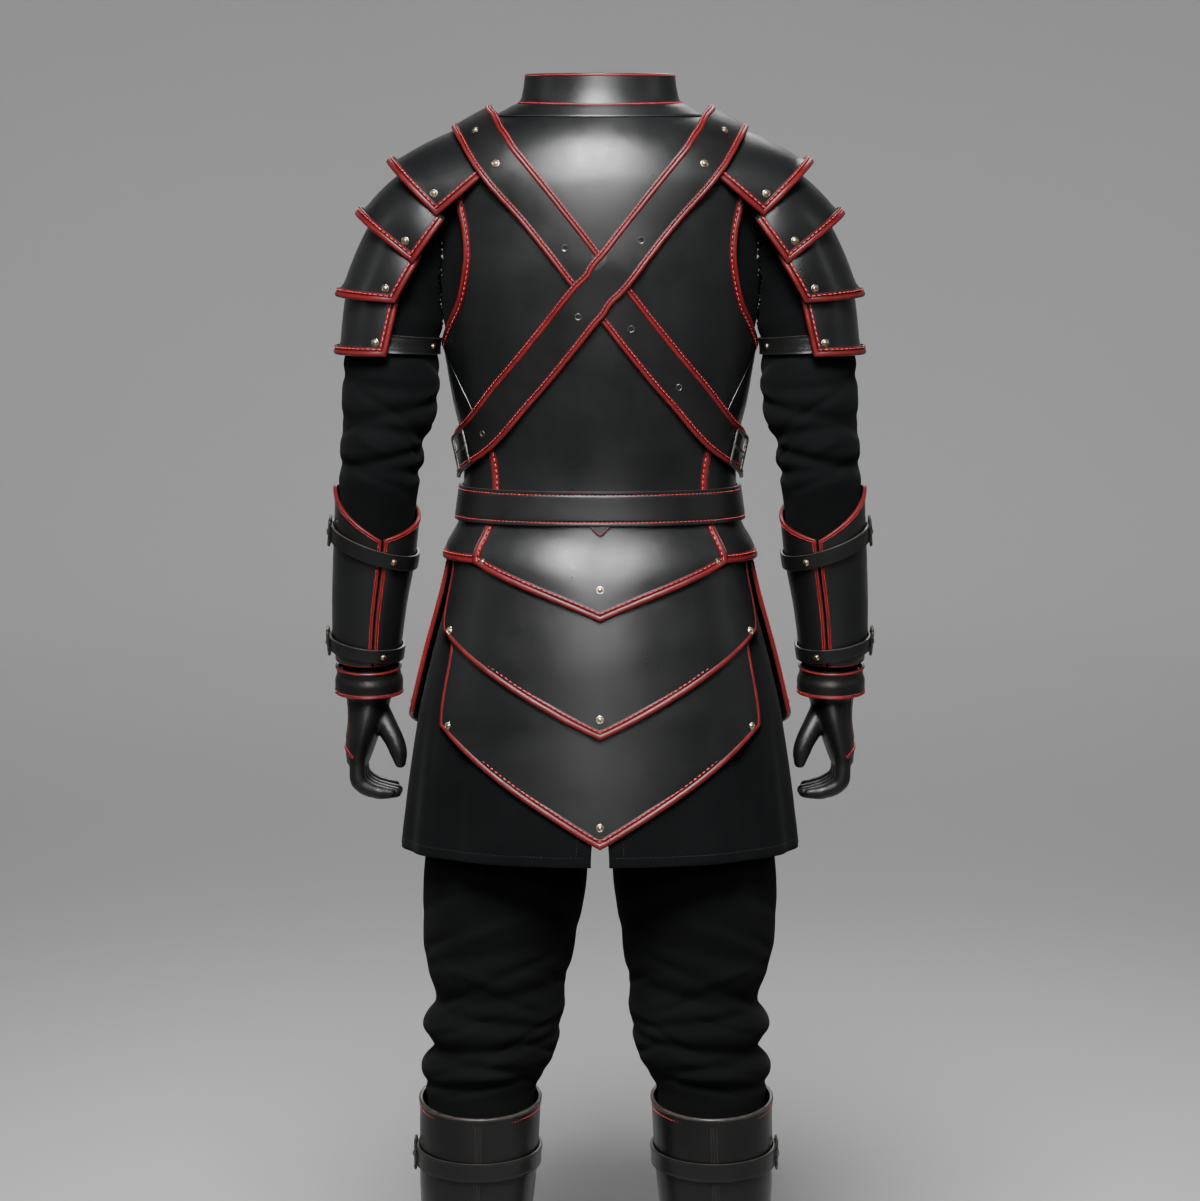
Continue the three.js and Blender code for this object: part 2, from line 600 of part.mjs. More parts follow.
// Standing collar with a narrow flange that lies on the panels. Each ring's lean is the way its wall faces.
const COLLAR = [
  { side: 88.5, back: 75, front: 86, height: 1535, lean: 14 },
  { side: 84.5, back: 70.5, front: 83, height: 1548, lean: 5 },
  { side: 82, back: 67, front: 81, height: 1566, lean: 3 },
];
const COLLAR_FLANGE = [1512, 1520];
const COLLAR_THICKNESS = 3;
const COLLAR_BACK_DROP = 3;

function addCollar() {
  const grid = (lift) => around(22).map((angle) => {
    const flange = COLLAR_FLANGE.map((height) => figure(angle, height, LIFT.belt + lift));
    const standing = COLLAR.map((ring) => {
      const out = lift * Math.cos(ring.lean * DEGREE);
      const depth = (Math.cos(angle) > 0 ? ring.back : ring.front) + out;
      const drop = COLLAR_BACK_DROP * Math.cos(angle) ** 2 * smooth(1560, 1530, ring.height);
      return new THREE.Vector3((ring.side + out) * Math.sin(angle), -depth * Math.cos(angle),
        ring.height - drop + lift * Math.sin(ring.lean * DEGREE));
    });
    return [...flange, ...standing];
  });
  addPiece("collar", wallBetween(grid(COLLAR_THICKNESS), grid(0), true), LEATHER);
}

// Hanging plates behind the hips. Each lists its bottom edge from the middle outwards, and its top.
const REAR_PLATES = [
  { name: "rear_plate_middle", lift: LIFT.middlePlate, middleTop: 984, sideTop: 1021, tip: 825, corner: 937,
    cornerX: 173, topX: 161 },
  { name: "rear_plate_lower", lift: LIFT.lowerPlate, middleTop: 872, sideTop: 941, tip: 704, corner: 833,
    cornerX: 179, topX: 165 },
];

function addRearPlates() {
  for (const plate of REAR_PLATES) {
    const point = (across, along, lift) => {
      const lower = mix(plate.tip, plate.corner, Math.abs(across));
      const height = mix(lower, mix(plate.middleTop, plate.sideTop, Math.abs(across)), along);
      const reach = mix(plate.cornerX, plate.topX, smooth(plate.corner, plate.sideTop, height));
      return figure(across * angleAt(reach - lift * 0.45, height), height, lift);
    };
    const half = [0.17, 0.34, 0.5, 0.66, 0.82, 0.96, 1];
    const columns = [...[...half].reverse().map((k) => -k), 0, ...half];
    addPiece(plate.name, edgedPlate(point, columns, [0, 0.05, 0.35, 0.67, 1], plate.lift, PANEL, boundBelowTop),
      LEATHER);
  }
}

// Hip plates, which hang at the sides and cover the front of each thigh.
const HIP_PLATE = {
  rear: 84, front: 166, rearTop: 1021, frontTop: 988, rearFoot: 838, middleFoot: 800, frontFoot: 856,
};

function addHipPlates() {
  for (const [name, side] of [["left", -1], ["right", 1]]) {
    const point = (across, along, lift) => {
      const { rearFoot, middleFoot, frontFoot, rearTop, frontTop } = HIP_PLATE;
      const lower = across < 0.5 ? mix(rearFoot, middleFoot, across * 2) : mix(middleFoot, frontFoot, across * 2 - 1);
      const height = mix(lower, mix(rearTop, frontTop, Math.max(0, across - 0.5) * 2), along);
      return figure(side * mix(HIP_PLATE.rear, HIP_PLATE.front, across) * DEGREE, height, lift);
    };
    const columns = [0, 0.05, 0.2, 0.35, 0.5, 0.65, 0.8, 0.95, 1];
    addPiece(`hip_plate_${name}`,
      edgedPlate(point, columns, [0, 0.06, 0.37, 0.68, 1], LIFT.middlePlate, PANEL, boundBelowTop), LEATHER);
  }
}

// Belt and its buckle in the middle of the front.
const BELT = { lower: 1060, upper: 1100, thickness: 4 };

function addBelt() {
  const grid = (lift) => around(32).map((angle) =>
    [BELT.lower, BELT.upper].map((height) => figure(angle, height, lift)));
  addPiece("belt", wallBetween(grid(LIFT.belt + BELT.thickness), grid(LIFT.belt), true), STRAP_LEATHER);
  const height = (BELT.lower + BELT.upper) / 2;
  const place = figure(Math.PI, height, LIFT.belt + BELT.thickness + BUCKLE.gap);
  addBuckle("belt_buckle", BELT.upper - BELT.lower, place, new THREE.Vector3(1, 0, 0), new THREE.Vector3(0, 1, 0));
}

// A buckle frame round a strap of a given width, lying on it: run is the way the strap runs, out the way it faces.
const BUCKLE = { bar: 4.5, clear: 3, length: 0.9, thickness: 3.6, gap: 1.3, sunk: 1.2 };

function addBuckle(name, strapWidth, place, run, out) {
  const high = strapWidth + 2 * (BUCKLE.bar + BUCKLE.clear);
  const long = high * BUCKLE.length;
  const outline = rectangle(long, high);
  outline.holes.push(rectangle(long - 2 * BUCKLE.bar, high - 2 * BUCKLE.bar));
  const frame = new THREE.ExtrudeGeometry(outline, { depth: BUCKLE.thickness, bevelEnabled: false });
  const up = out.clone().cross(run).normalize();
  frame.applyMatrix4(new THREE.Matrix4().makeBasis(run, up, out).setPosition(place));
  addPiece(name, frame, STEEL);
}

function rectangle(width, height) {
  const shape = new THREE.Shape();
  shape.moveTo(-width / 2, -height / 2);
  shape.lineTo(width / 2, -height / 2);
  shape.lineTo(width / 2, height / 2);
  shape.lineTo(-width / 2, height / 2);
  shape.closePath();
  return shape;
}

// Crossed straps: from the chest over one shoulder, straight across the back and round the other side.
// x is towards the strap's own shoulder, and face says which side of the shoulder seam the row is on.
const CROSS_STRAP = [
  { t: 0, x: 62, height: 1402, face: "front" },
  { t: 1, x: 88.7, height: 1434, face: "front" },
  { t: 2, x: 121, height: 1473, face: "front" },
  { t: 3, x: 134, height: 1492, face: "front" },
  { t: 4, x: 138.5, height: 1500, face: "seam" },
  { t: 5, x: 134, height: 1492, face: "back" },
  { t: 6, x: 121, height: 1473, face: "back" },
  { t: 7, x: 88.7, height: 1434, face: "back" },
  { t: 8, x: 44.3, height: 1380, face: "back" },
  { t: 9, x: 0, height: 1325, face: "back" },
  { t: 10, x: -44.3, height: 1269, face: "back" },
  { t: 11, x: -89, height: 1213, face: "back" },
  { t: 12, x: -127, height: 1161, face: "back" },
  { t: 13, x: -151, height: 1128, face: "back" },
];
const CROSS_STRAP_WIDTH = 41;
const SHOULDER_LIFT = 9.2;
const CROSSING_LIFT = 4.4;
const WAIST_LIFT = 2.1;
const SIDE_BUCKLE_PLACE = 12.5;
const SIDE_BUCKLE_GAP = 0.8;
const SIDE_BUCKLE_WIDTH = 30;

function crossStrapPath(hand, over) {
  const rows = CROSS_STRAP.map((row) => {
    const flat = angleAt(row.x, row.height);
    const angle = row.face === "front" ? Math.PI - flat : row.face === "seam" ? Math.PI / 2 : flat;
    return { t: row.t, angle, height: row.height };
  });
  return (t) => {
    const shoulder = SHOULDER_LIFT * smooth(7.4, 6.3, t) * smooth(0.6, 1.7, t);
    const side = WAIST_LIFT * smooth(10.9, 11.8, t);
    const crossing = over ? CROSSING_LIFT * smooth(7.9, 8.6, t) * smooth(10.1, 9.4, t) : 0;
    return {
      angle: hand * valueAt(rows, "t", "angle", t),
      height: valueAt(rows, "t", "height", t),
      lift: LIFT.strap + shoulder + crossing + side,
    };
  };
}

function addCrossStraps() {
  const places = [0, 0.8, 1.6, 2.3, 2.9, 3.45, 4, 4.55, 5.1, 5.7, 6.4, 7, 7.5, 8, 8.5, 9, 9.5, 10, 10.5, 11, 11.5, 12,
    12.5, 13];
  for (const [name, side] of [["left", -1], ["right", 1]]) {
    const path = crossStrapPath(side, side > 0);
    addPiece(`cross_strap_${name}`, strapOnFigure(path, places, CROSS_STRAP_WIDTH, STRAP), STRAP_LEATHER);
    const end = path(SIDE_BUCKLE_PLACE);
    const before = path(SIDE_BUCKLE_PLACE - 0.1);
    const out = figureFrame(end.angle, end.height).normal;
    const run = figureSurface(end.angle, end.height).sub(figureSurface(before.angle, before.height));
    run.addScaledVector(out, -run.dot(out)).normalize();
    const place = figure(end.angle, end.height, end.lift + STRAP + SIDE_BUCKLE_GAP);
    addBuckle(`side_buckle_${name}`, SIDE_BUCKLE_WIDTH, place, run, out);
  }
}

// Shoulder lames. Each runs from the back over the outside of the shoulder to the front. x and z place its
// corners, tipX and tipZ its outermost point, and deep is how far its corners stand back and forward.
const LAMES = [
  { upper: { angle: 37, height: 1457, tipHeight: 1499.5, lift: 8.2 },
    lower: { x: 182, z: 1408, tipX: 237, tipZ: 1461, deep: 85 }, bulge: 4.5 },
  { upper: { x: 174, z: 1404, tipX: 202, tipZ: 1466, deep: 80.4 },
    lower: { x: 209, z: 1355, tipX: 271, tipZ: 1404, deep: 80 }, bulge: 6 },
  { upper: { x: 199, z: 1364, tipX: 243, tipZ: 1421, deep: 72.4 },
    lower: { x: 230, z: 1311, tipX: 293, tipZ: 1314, deep: 76 }, bulge: 6 },
  { upper: { x: 225, z: 1319, tipX: 285, tipZ: 1330, deep: 68 },
    lower: { x: 241, z: 1250, tipX: 294, tipZ: 1250, deep: 70 }, bulge: 1.5 },
];
const LAME_FLARE = 5;

// A point of a half ellipse from the back corner (-90 degrees) over the tip to the front corner.
function arcPoint(arc, angle) {
  if (arc.lift) {
    const height = mix(arc.height, arc.tipHeight, Math.cos(angle) ** 1.3);
    return figure(mix(Math.PI / 2, arc.angle * DEGREE, -angle / (Math.PI / 2)), height, arc.lift);
  }
  const out = Math.cos(angle) ** 0.92;
  return new THREE.Vector3(mix(arc.x, arc.tipX, out), arc.deep * signedPower(Math.sin(angle), 0.92),
    mix(arc.z, arc.tipZ, out));
}

function lameSurface(lame, angle, along) {
  const from = arcPoint(lame.upper, angle);
  const to = arcPoint(lame.lower, angle);
  const away = new THREE.Vector3(0.55 * Math.cos(angle), 0.85 * Math.sin(angle), 0.8 * Math.cos(angle));
  return from.lerp(to, along).addScaledVector(away, 4 * lame.bulge * along * (1 - along));
}

function lamePoint(lame) {
  return (across, along, lift) => {
    const angle = mix(-Math.PI / 2, Math.PI / 2, across) * 0.9999;
    const p = lameSurface(lame, angle, along);
    const sweep = lameSurface(lame, Math.min(angle + 0.02, 1.5706), along)
      .sub(lameSurface(lame, Math.max(angle - 0.02, -1.5706), along));
    const down = lameSurface(lame, angle, along + 0.02).sub(lameSurface(lame, angle, along - 0.02));
    const normal = down.cross(sweep).normalize();
    const tipFlare = LAME_FLARE * smooth(0.84, 1, along) * Math.cos(angle) ** 2;
    return p.addScaledVector(normal, lift + tipFlare);
  };
}

function mirrored(geometry, side) {
  if (side > 0) return geometry;
  const position = geometry.getAttribute("position");
  for (let i = 0; i < position.count; i++) position.setX(i, -position.getX(i));
  geometry.setIndex([...geometry.index.array].reverse());
  return geometry;
}

function addLames() {
  const columns = [0, 0.05, 0.15, 0.27, 0.39, 0.5, 0.61, 0.73, 0.85, 0.95, 1];
  for (const [name, side] of [["left", -1], ["right", 1]]) {
    LAMES.forEach((lame, i) => {
      const plate = edgedPlate(lamePoint(lame), columns, [1, 0.87, 0.4, 0], 0, LAME, boundBelowTop);
      addPiece(`shoulder_lame_${i + 1}_${name}`, mirrored(plate, side), LEATHER);
    });
  }
}

// Strap round each upper arm, under the lowest lame.
const ARM_STRAP = { upper: 167, lower: 188, thickness: 2.2 };

// Forearm guards. The top edge is high outside and dips to a corner behind, where the closing flap starts.
const GUARD_TOP = [
  { degrees: 0, s: 342 },
  { degrees: 100, s: 394 },
  { degrees: 140, s: 386 },
  { degrees: 180, s: 378 },
  { degrees: 270, s: 352 },
  { degrees: 360, s: 342 },
];
const GUARD = { bottom: 548, thickness: 3.2 };
const GUARD_STRAPS = [
  { name: "upper", s: 412, tilt: 17, width: 18 },
  { name: "lower", s: 533, tilt: 6, width: 17 },
];
const FLAP_ANGLE = 102 * DEGREE;

function guardTop(angle) {
  return straightAt(GUARD_TOP, "degrees", "s", angle / DEGREE);
}

function addArms() {
  for (const [name, side] of [["left", -1], ["right", 1]]) {
    const onArm = (s, angle, lift) => arm(side, s, angle, lift);
    const strap = band(onArm, around(18), () => ARM_STRAP.lower, () => ARM_STRAP.upper, 1.8, ARM_STRAP.thickness);
    addPiece(`arm_strap_${name}`, strap, STRAP_LEATHER);
    addForearmGuard(name, side);
  }
}

// The guard is one sheet wrapped round the forearm, open by a slit at the flap.
function addForearmGuard(name, side) {
  const slit = 1.2 / 45;
  const columns = [0, ...steps(13, 0.06, 0.94), 1];
  const point = (across, along, lift) => {
    const angle = FLAP_ANGLE + mix(slit, 2 * Math.PI - slit, across);
    const top = guardTop(angle % (2 * Math.PI));
    return arm(side, mix(GUARD.bottom, top, along), angle, lift);
  };
  const bound = (atSide, row, top) => row === 0 || row === top;
  const sheet = edgedPlate(point, columns, [0, 0.05, 0.5, 0.94, 1], LAYER_GAP, GUARD.thickness, bound, 1.2);
  addPiece(`forearm_guard_${name}`, sheet, LEATHER);
  for (const strap of GUARD_STRAPS) {
    const middle = (angle) => strap.s - strap.tilt * Math.cos(angle);
    const onArm = (s, angle, lift) => arm(side, s, angle, lift);
    const ring = band(onArm, around(20), (a) => middle(a) + strap.width / 2, (a) => middle(a) - strap.width / 2,
      2 * LAYER_GAP + GUARD.thickness + 0.4, 2.6);
    addPiece(`forearm_strap_${strap.name}_${name}`, ring, STRAP_LEATHER);
    const along = arm(side, middle(0) - 1, 0, 0).sub(arm(side, middle(0) + 1, 0, 0)).normalize();
    const run = new THREE.Vector3(side, 0, 0).cross(along).normalize();
    const place = arm(side, middle(0), 0, 2 * LAYER_GAP + GUARD.thickness + 0.4 + 2.6 - BUCKLE.sunk);
    addBuckle(`forearm_buckle_${strap.name}_${name}`, strap.width, place, run, run.clone().cross(along).negate());
  }
}

// Gloves: a palm with curled fingers and a thumb, hollow, with a stiff cuff and a guard on the back of the hand.
const GLOVE_WALL = 1.8;
const PALM = [
  { height: 884, x: 268, y: 29.2, wide: 33, deep: 36.2 },
  { height: 867, x: 268, y: 31.6, wide: 32, deep: 36.4 },
  { height: 848, x: 268, y: 36, wide: 26, deep: 33 },
  { height: 822, x: 272, y: 40, wide: 21, deep: 40 },
  { height: 792, x: 279, y: 43, wide: 17.5, deep: 43 },
  { height: 772, x: 282, y: 44, wide: 13, deep: 41 },
];
const FINGERS = [
  { y: 12, length: 0.9, radius: 9.5 },
  { y: 33, length: 1, radius: 10.5 },
  { y: 54.5, length: 1.02, radius: 10.5 },
  { y: 75.8, length: 0.92, radius: 10 },
];
// The middle line of a finger, from inside the palm to the tip.
const FINGER_LINE = [
  { x: 280, z: 786, size: 1 },
  { x: 280, z: 760, size: 1 },
  { x: 264, z: 743, size: 0.98 },
  { x: 236, z: 737, size: 0.6 },
];
const THUMB_LINE = [
  { x: 258, y: 32, z: 838, radius: 14 },
  { x: 237, y: 16, z: 800, radius: 11.5 },
  { x: 232, y: 13, z: 784, radius: 10 },
  { x: 231, y: 12, z: 776, radius: 5.5 },
];

// Rings along a bent finger, each square to the way the finger runs there.
function fingerRings(side, line, count, shrink) {
  return line.map((place, i) => {
    const before = line[Math.max(0, i - 1)];
    const after = line[Math.min(line.length - 1, i + 1)];
    const run = new THREE.Vector3(side * (after.x - before.x), after.y - before.y, after.z - before.z).normalize();
    const first = new THREE.Vector3(0, 1, 0).addScaledVector(run, -run.y).normalize();
    const second = run.clone().cross(first);
    const radius = Math.max(1.5, place.radius - shrink);
    const end = i === line.length - 1 ? -0.6 * shrink : 0;
    const centre = new THREE.Vector3(side * place.x, place.y, place.z).addScaledVector(run, end);
    return around(count).map((angle) => centre.clone().addScaledVector(first, radius * Math.cos(angle))
      .addScaledVector(second, radius * Math.sin(angle)));
  });
}

function handVolume(side, shrink, sides) {
  const palm = loft(PALM.map((ring, i) => {
    const low = i === PALM.length - 1 ? shrink : 0;
    const high = i === 0 && shrink ? 6 : 0;
    return around(10).map((angle) => new THREE.Vector3(side * ring.x + (ring.wide - shrink) * Math.cos(angle),
      ring.y + (ring.deep - shrink) * Math.sin(angle), ring.height + low + high));
  }));
  let hand = solidOf(palm);
  for (const finger of FINGERS) {
    const line = FINGER_LINE.map((place) => ({
      x: mix(FINGER_LINE[1].x, place.x, finger.length), y: finger.y,
      z: mix(FINGER_LINE[1].z, place.z, finger.length), radius: finger.radius * place.size }));
    hand = hand.add(solidOf(loft(fingerRings(side, line, sides, shrink))));
  }
  return hand.add(solidOf(loft(fingerRings(side, THUMB_LINE, sides, shrink))));
}

const GLOVE_CUFF = { upper: 556, lower: 588, thickness: 2.6 };

function addGloves() {
  for (const [name, side] of [["left", -1], ["right", 1]]) {
    const glove = handVolume(side, 0, 6).subtract(handVolume(side, GLOVE_WALL, 4));
    addPiece(`glove_${name}`, geometryOf(largest(glove)), GLOVE_LEATHER);
    const cuffLift = (s) => mix(3.8, 7.5, smooth(562, 574, s));
    const onArm = (s, angle, lift) => arm(side, s, angle, lift + cuffLift(s));
    addPiece(`glove_cuff_${name}`, band(onArm, around(18), () => GLOVE_CUFF.lower, () => GLOVE_CUFF.upper, 0,
      GLOVE_CUFF.thickness, [0, 0.5, 1]), GLOVE_LEATHER);
  }
}

// Boots: a shaft that runs into the foot, a sole, and a buckled strap below the rim.
const FOOT = [
  { y: -52, width: 33, top: 74 },
  { y: -34, width: 40, top: 96 },
  { y: 22, width: 41, top: 98 },
  { y: 72, width: 44, top: 86 },
  { y: 124, width: 49, top: 68 },
  { y: 170, width: 48, top: 58 },
  { y: 206, width: 40, top: 50 },
  { y: 227, width: 24, top: 42 },
];
// Section of the foot, as shares of its half width and its height over the sole.
const FOOT_SECTION = [
  { x: 1, z: 0 },
  { x: 1, z: 0.42 },
  { x: 0.82, z: 0.78 },
  { x: 0.34, z: 1 },
  { x: -0.34, z: 1 },
  { x: -0.82, z: 0.78 },
  { x: -1, z: 0.42 },
  { x: -1, z: 0 },
];
const SOLE = { top: 24, welt: 4, archFrom: 18, archTo: 62, archHeight: 11 };
const FOOT_X = 147;

function bootRow(height) {
  const row = { height };
  for (const column of ["x", "y", "wide", "deep", "slope"]) row[column] = valueAt(BOOT, "height", column, height);
  return row;
}

function bootPoint(side, height, angle, lift) {
  const row = bootRow(height);
  const back = (row.deep + lift) * Math.sin(angle);
  const tilt = 2 * Math.tan(row.slope * DEGREE) * smooth(250, 380, height);
  return new THREE.Vector3(
    side * row.x + footShift(side, height) + side * (row.wide + lift) * Math.cos(angle),
    row.y - back,
    height - back * tilt,
  );
}

function footLoft(side, shrink) {
  const x = side * FOOT_X + footShift(side, 0);
  const floor = SOLE.top + SEAM + shrink;
  return loft(FOOT.map((ring, i) => {
    const end = i === 0 ? shrink : i === FOOT.length - 1 ? -shrink : 0;
    return FOOT_SECTION.map((corner) => new THREE.Vector3(x + corner.x * (ring.width - shrink), ring.y + end,
      mix(floor, ring.top - shrink, corner.z)));
  }));
}

const SHAFT_HEIGHTS = { outer: [72, 110, 170, 250, 389], inner: [76, 110, 170, 250, 398] };

function addBoots() {
  for (const [name, side] of [["left", -1], ["right", 1]]) {
    const shaft = (lift, heights) => loft(heights.map((height) =>
      around(14).map((angle) => bootPoint(side, height, angle, lift))));
    const outer = solidOf(shaft(0, SHAFT_HEIGHTS.outer)).add(solidOf(footLoft(side, 0)));
    const inner = solidOf(shaft(-BOOT_WALL, SHAFT_HEIGHTS.inner)).add(solidOf(footLoft(side, BOOT_WALL)));
    addPiece(`boot_${name}`, geometryOf(largest(outer.subtract(inner))), BOOT_LEATHER);
    addPiece(`boot_sole_${name}`, soleGeometry(side), STRAP_LEATHER);
    addBootStrap(name, side);
  }
}

// The sole follows the foot with a narrow welt, and its arch is cut up from the ground.
function soleGeometry(side) {
  const x = side * FOOT_X + footShift(side, 0);
  const edge = FOOT.map((ring, i) => {
    const end = i === 0 ? -SOLE.welt : i === FOOT.length - 1 ? SOLE.welt : 0;
    return { half: ring.width + SOLE.welt, y: ring.y + end };
  });
  const outline = new THREE.Shape([
    ...edge.map((place) => new THREE.Vector2(x + place.half, place.y)),
    ...[...edge].reverse().map((place) => new THREE.Vector2(x - place.half, place.y)),
  ]);
  const slab = new THREE.ExtrudeGeometry(outline, { depth: SOLE.top, bevelEnabled: false });
  const arch = new THREE.BoxGeometry(4 * FOOT_X, SOLE.archTo - SOLE.archFrom, 2 * SOLE.archHeight);
  arch.translate(x, (SOLE.archFrom + SOLE.archTo) / 2, 0);
  return geometryOf(solidOf(slab).subtract(solidOf(arch)));
}

const BOOT_STRAP = { height: 322, width: 22, thickness: 3, rise: 8 };

function addBootStrap(name, side) {
  const middle = (angle) => BOOT_STRAP.height - BOOT_STRAP.rise * Math.sin(angle);
  const grid = (lift) => around(20).map((angle) => [-0.5, 0.5].map((end) => {
    const p = bootPoint(side, BOOT_STRAP.height + end * BOOT_STRAP.width, angle, lift);
    return p.setZ(middle(angle) + end * BOOT_STRAP.width);
  }));
  const ring = wallBetween(grid(LAYER_GAP + BOOT_STRAP.thickness), grid(LAYER_GAP), true);
  addPiece(`boot_strap_${name}`, ring, STRAP_LEATHER);
  const place = bootPoint(side, BOOT_STRAP.height, 0, LAYER_GAP + BOOT_STRAP.thickness - BUCKLE.sunk);
  addBuckle(`boot_buckle_${name}`, BOOT_STRAP.width, place, new THREE.Vector3(0, 1, 0), new THREE.Vector3(side, 0, 0));
}

addTunic();
addTrousers();
addPanels();
addCollar();
addRearPlates();
addHipPlates();
addBelt();
addCrossStraps();
addLames();
addArms();
addGloves();
addBoots();

export default set;
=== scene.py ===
"""The looks of a leather armour set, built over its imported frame.

Sizes are millimetres, with heights above the boot soles, and become metres in the row frame when a piece is made.
The set is seen from behind: its back faces -Y and its right side is +X.
"""

import logging
import math
from dataclasses import dataclass, field
from enum import Enum
from typing import Callable, Iterable, Sequence

import bmesh
import bpy
import numpy as np
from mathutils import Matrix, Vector


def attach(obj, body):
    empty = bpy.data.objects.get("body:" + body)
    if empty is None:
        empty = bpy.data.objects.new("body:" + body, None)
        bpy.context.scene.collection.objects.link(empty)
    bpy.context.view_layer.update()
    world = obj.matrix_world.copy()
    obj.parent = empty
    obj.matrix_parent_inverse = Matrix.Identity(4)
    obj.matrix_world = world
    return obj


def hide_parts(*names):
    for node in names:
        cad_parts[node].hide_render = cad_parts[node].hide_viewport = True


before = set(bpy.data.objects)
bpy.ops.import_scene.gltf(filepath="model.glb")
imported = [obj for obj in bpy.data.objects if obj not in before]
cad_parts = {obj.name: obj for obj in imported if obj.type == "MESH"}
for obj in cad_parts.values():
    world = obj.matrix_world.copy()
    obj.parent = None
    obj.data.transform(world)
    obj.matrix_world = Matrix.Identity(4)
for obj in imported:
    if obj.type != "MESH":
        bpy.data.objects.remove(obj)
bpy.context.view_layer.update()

LOG = logging.getLogger("armour")
HELD_HEIGHT = 1500.0
BODY = "root"
DEGREE = math.pi / 180
# The width of one band of a wave texture at scale 1.
BAND_PERIOD = 0.314
TURN = 2 * math.pi

Array = np.ndarray
Colour = tuple[float, float, float]
PointAt = Callable[[Array, Array, Array], Array]


class Side(Enum):
    """The wearer's left and right, with the sign of X on each."""

    LEFT = ("left", -1.0)
    RIGHT = ("right", 1.0)

    @property
    def label(self) -> str:
        """The word that ends the names of this side's nodes."""
        return self.value[0]

    @property
    def sign(self) -> float:
        """The sign of X on this side."""
        return self.value[1]


def mix(a: Array, b: Array, t: Array) -> Array:
    """A value between a and b, by the share t."""
    return a + (b - a) * t


def smooth(start: float, end: float, at: Array) -> Array:
    """A soft step from 0 at start to 1 at end."""
    t = np.clip((np.asarray(at, float) - start) / (end - start), 0, 1)
    return t * t * (3 - 2 * t)


def power_of(value: Array, power: Array) -> Array:
    """A power that keeps the value's sign."""
    return np.sign(value) * np.abs(value) ** power


def unit(vectors: Array) -> Array:
    """The same vectors at length one."""
    return vectors / np.maximum(np.linalg.norm(vectors, axis=-1, keepdims=True), 1e-9)


def stack(x: Array, y: Array, z: Array) -> Array:
    """Points from their three coordinates, spread to one shape."""
    return np.stack(np.broadcast_arrays(x, y, z), axis=-1).astype(float)


class Table:
    """Rows of sizes, read smoothly between them, or straight where an edge has corners."""

    def __init__(self, names: str, rows: Sequence[Sequence[float]]) -> None:
        """Keeps the rows in rising order of their first column.

        Args:
            names: The columns' names, parted by spaces, the first being what the table is read by.
            rows: One row of numbers for each place.
        """
        data = np.array(sorted(rows), float)
        self.keys = data[:, 0]
        self.columns = {name: data[:, i] for i, name in enumerate(names.split())}
        before = np.maximum(np.arange(len(data)) - 1, 0)
        after = np.minimum(np.arange(len(data)) + 1, len(data) - 1)
        run = self.keys[after] - self.keys[before]
        self.slopes = {name: (v[after] - v[before]) / run for name, v in self.columns.items()}

    def at(self, name: str, where: Array) -> Array:
        """One column's value between the rows.

        Args:
            name: The column.
            where: The places along the first column.

        Returns:
            The smooth value at each place.
        """
        where = np.asarray(where, float)
        values, slopes = self.columns[name], self.slopes[name]
        i = np.searchsorted(self.keys[1:-1], where, side="left")
        span = self.keys[i + 1] - self.keys[i]
        t = (where - self.keys[i]) / span
        inside = np.clip(t, 0, 1)
        t2, t3 = inside**2, inside**3
        value = (2 * t3 - 3 * t2 + 1) * values[i] + (t3 - 2 * t2 + inside) * span * slopes[i]
        value += (3 * t2 - 2 * t3) * values[i + 1] + (t3 - t2) * span * slopes[i + 1]
        return value + np.minimum(t, 0) * span * slopes[i] + np.maximum(t - 1, 0) * span * slopes[i + 1]

    def straight(self, name: str, where: Array) -> Array:
        """One column's value on straight lines between the rows."""
        return np.interp(where, self.keys, self.columns[name])


CLOTH = 2.0
PANEL = 3.5
LAME = 3.2
STRAP = 3.0
LAYER_GAP = 1.2
SEAM = 0.4

PANEL_LIFT = CLOTH + LAYER_GAP
MIDDLE_LIFT = PANEL_LIFT + PANEL + 1.7
UPPER_LIFT = PANEL_LIFT + 2 * (PANEL + 1.7)
BELT_LIFT = CLOTH + PANEL + 2 * LAYER_GAP
STRAP_LIFT = BELT_LIFT + 0.5

FIGURE_TABLE = Table(
    "height side back front square",
    [
        (600, 238, 172, 166, 2.1), (683, 229, 164, 157, 2.1), (734, 223, 158, 151, 2.1),
        (781, 216, 152, 145, 2.15), (827, 208.5, 146, 139, 2.15), (851, 204, 143, 136, 2.2),
        (909, 190, 135, 129, 2.2), (967, 174, 124, 119, 2.2), (1013, 163, 115, 111, 2.25),
        (1060, 155, 107, 104, 2.25), (1105, 149.5, 103, 101, 2.25), (1150, 151, 105, 104, 2.25),
        (1200, 162, 111, 113, 2.25), (1250, 170.5, 117, 121, 2.25), (1300, 181, 120, 126, 2.25),
        (1350, 189, 122, 127, 2.25), (1400, 192, 120, 122, 2.2), (1440, 190, 115, 114, 2.2),
        (1470, 179, 106, 104, 2.1), (1490, 156, 97, 97, 2.05), (1509, 123, 84, 90, 2),
        (1526, 87, 69, 80, 2), (1540, 76, 60, 73, 2), (1560, 72, 57, 70, 2),
    ],
)
PANEL_EDGE = Table(
    "height x",
    [
        (940, 134), (1012, 132), (1057, 124), (1103, 116.5), (1156, 124), (1195, 141), (1230, 158), (1262, 172),
        (1288, 166), (1313, 156), (1358, 148.5), (1389, 150), (1420, 156), (1455, 158), (1478, 158), (1491, 154.4),
    ],
)
SHOULDER_SEAM_HEIGHT = 1491.0
NECK_HEIGHT = 1524.0
ARMHOLE_FOOT = 1262.0

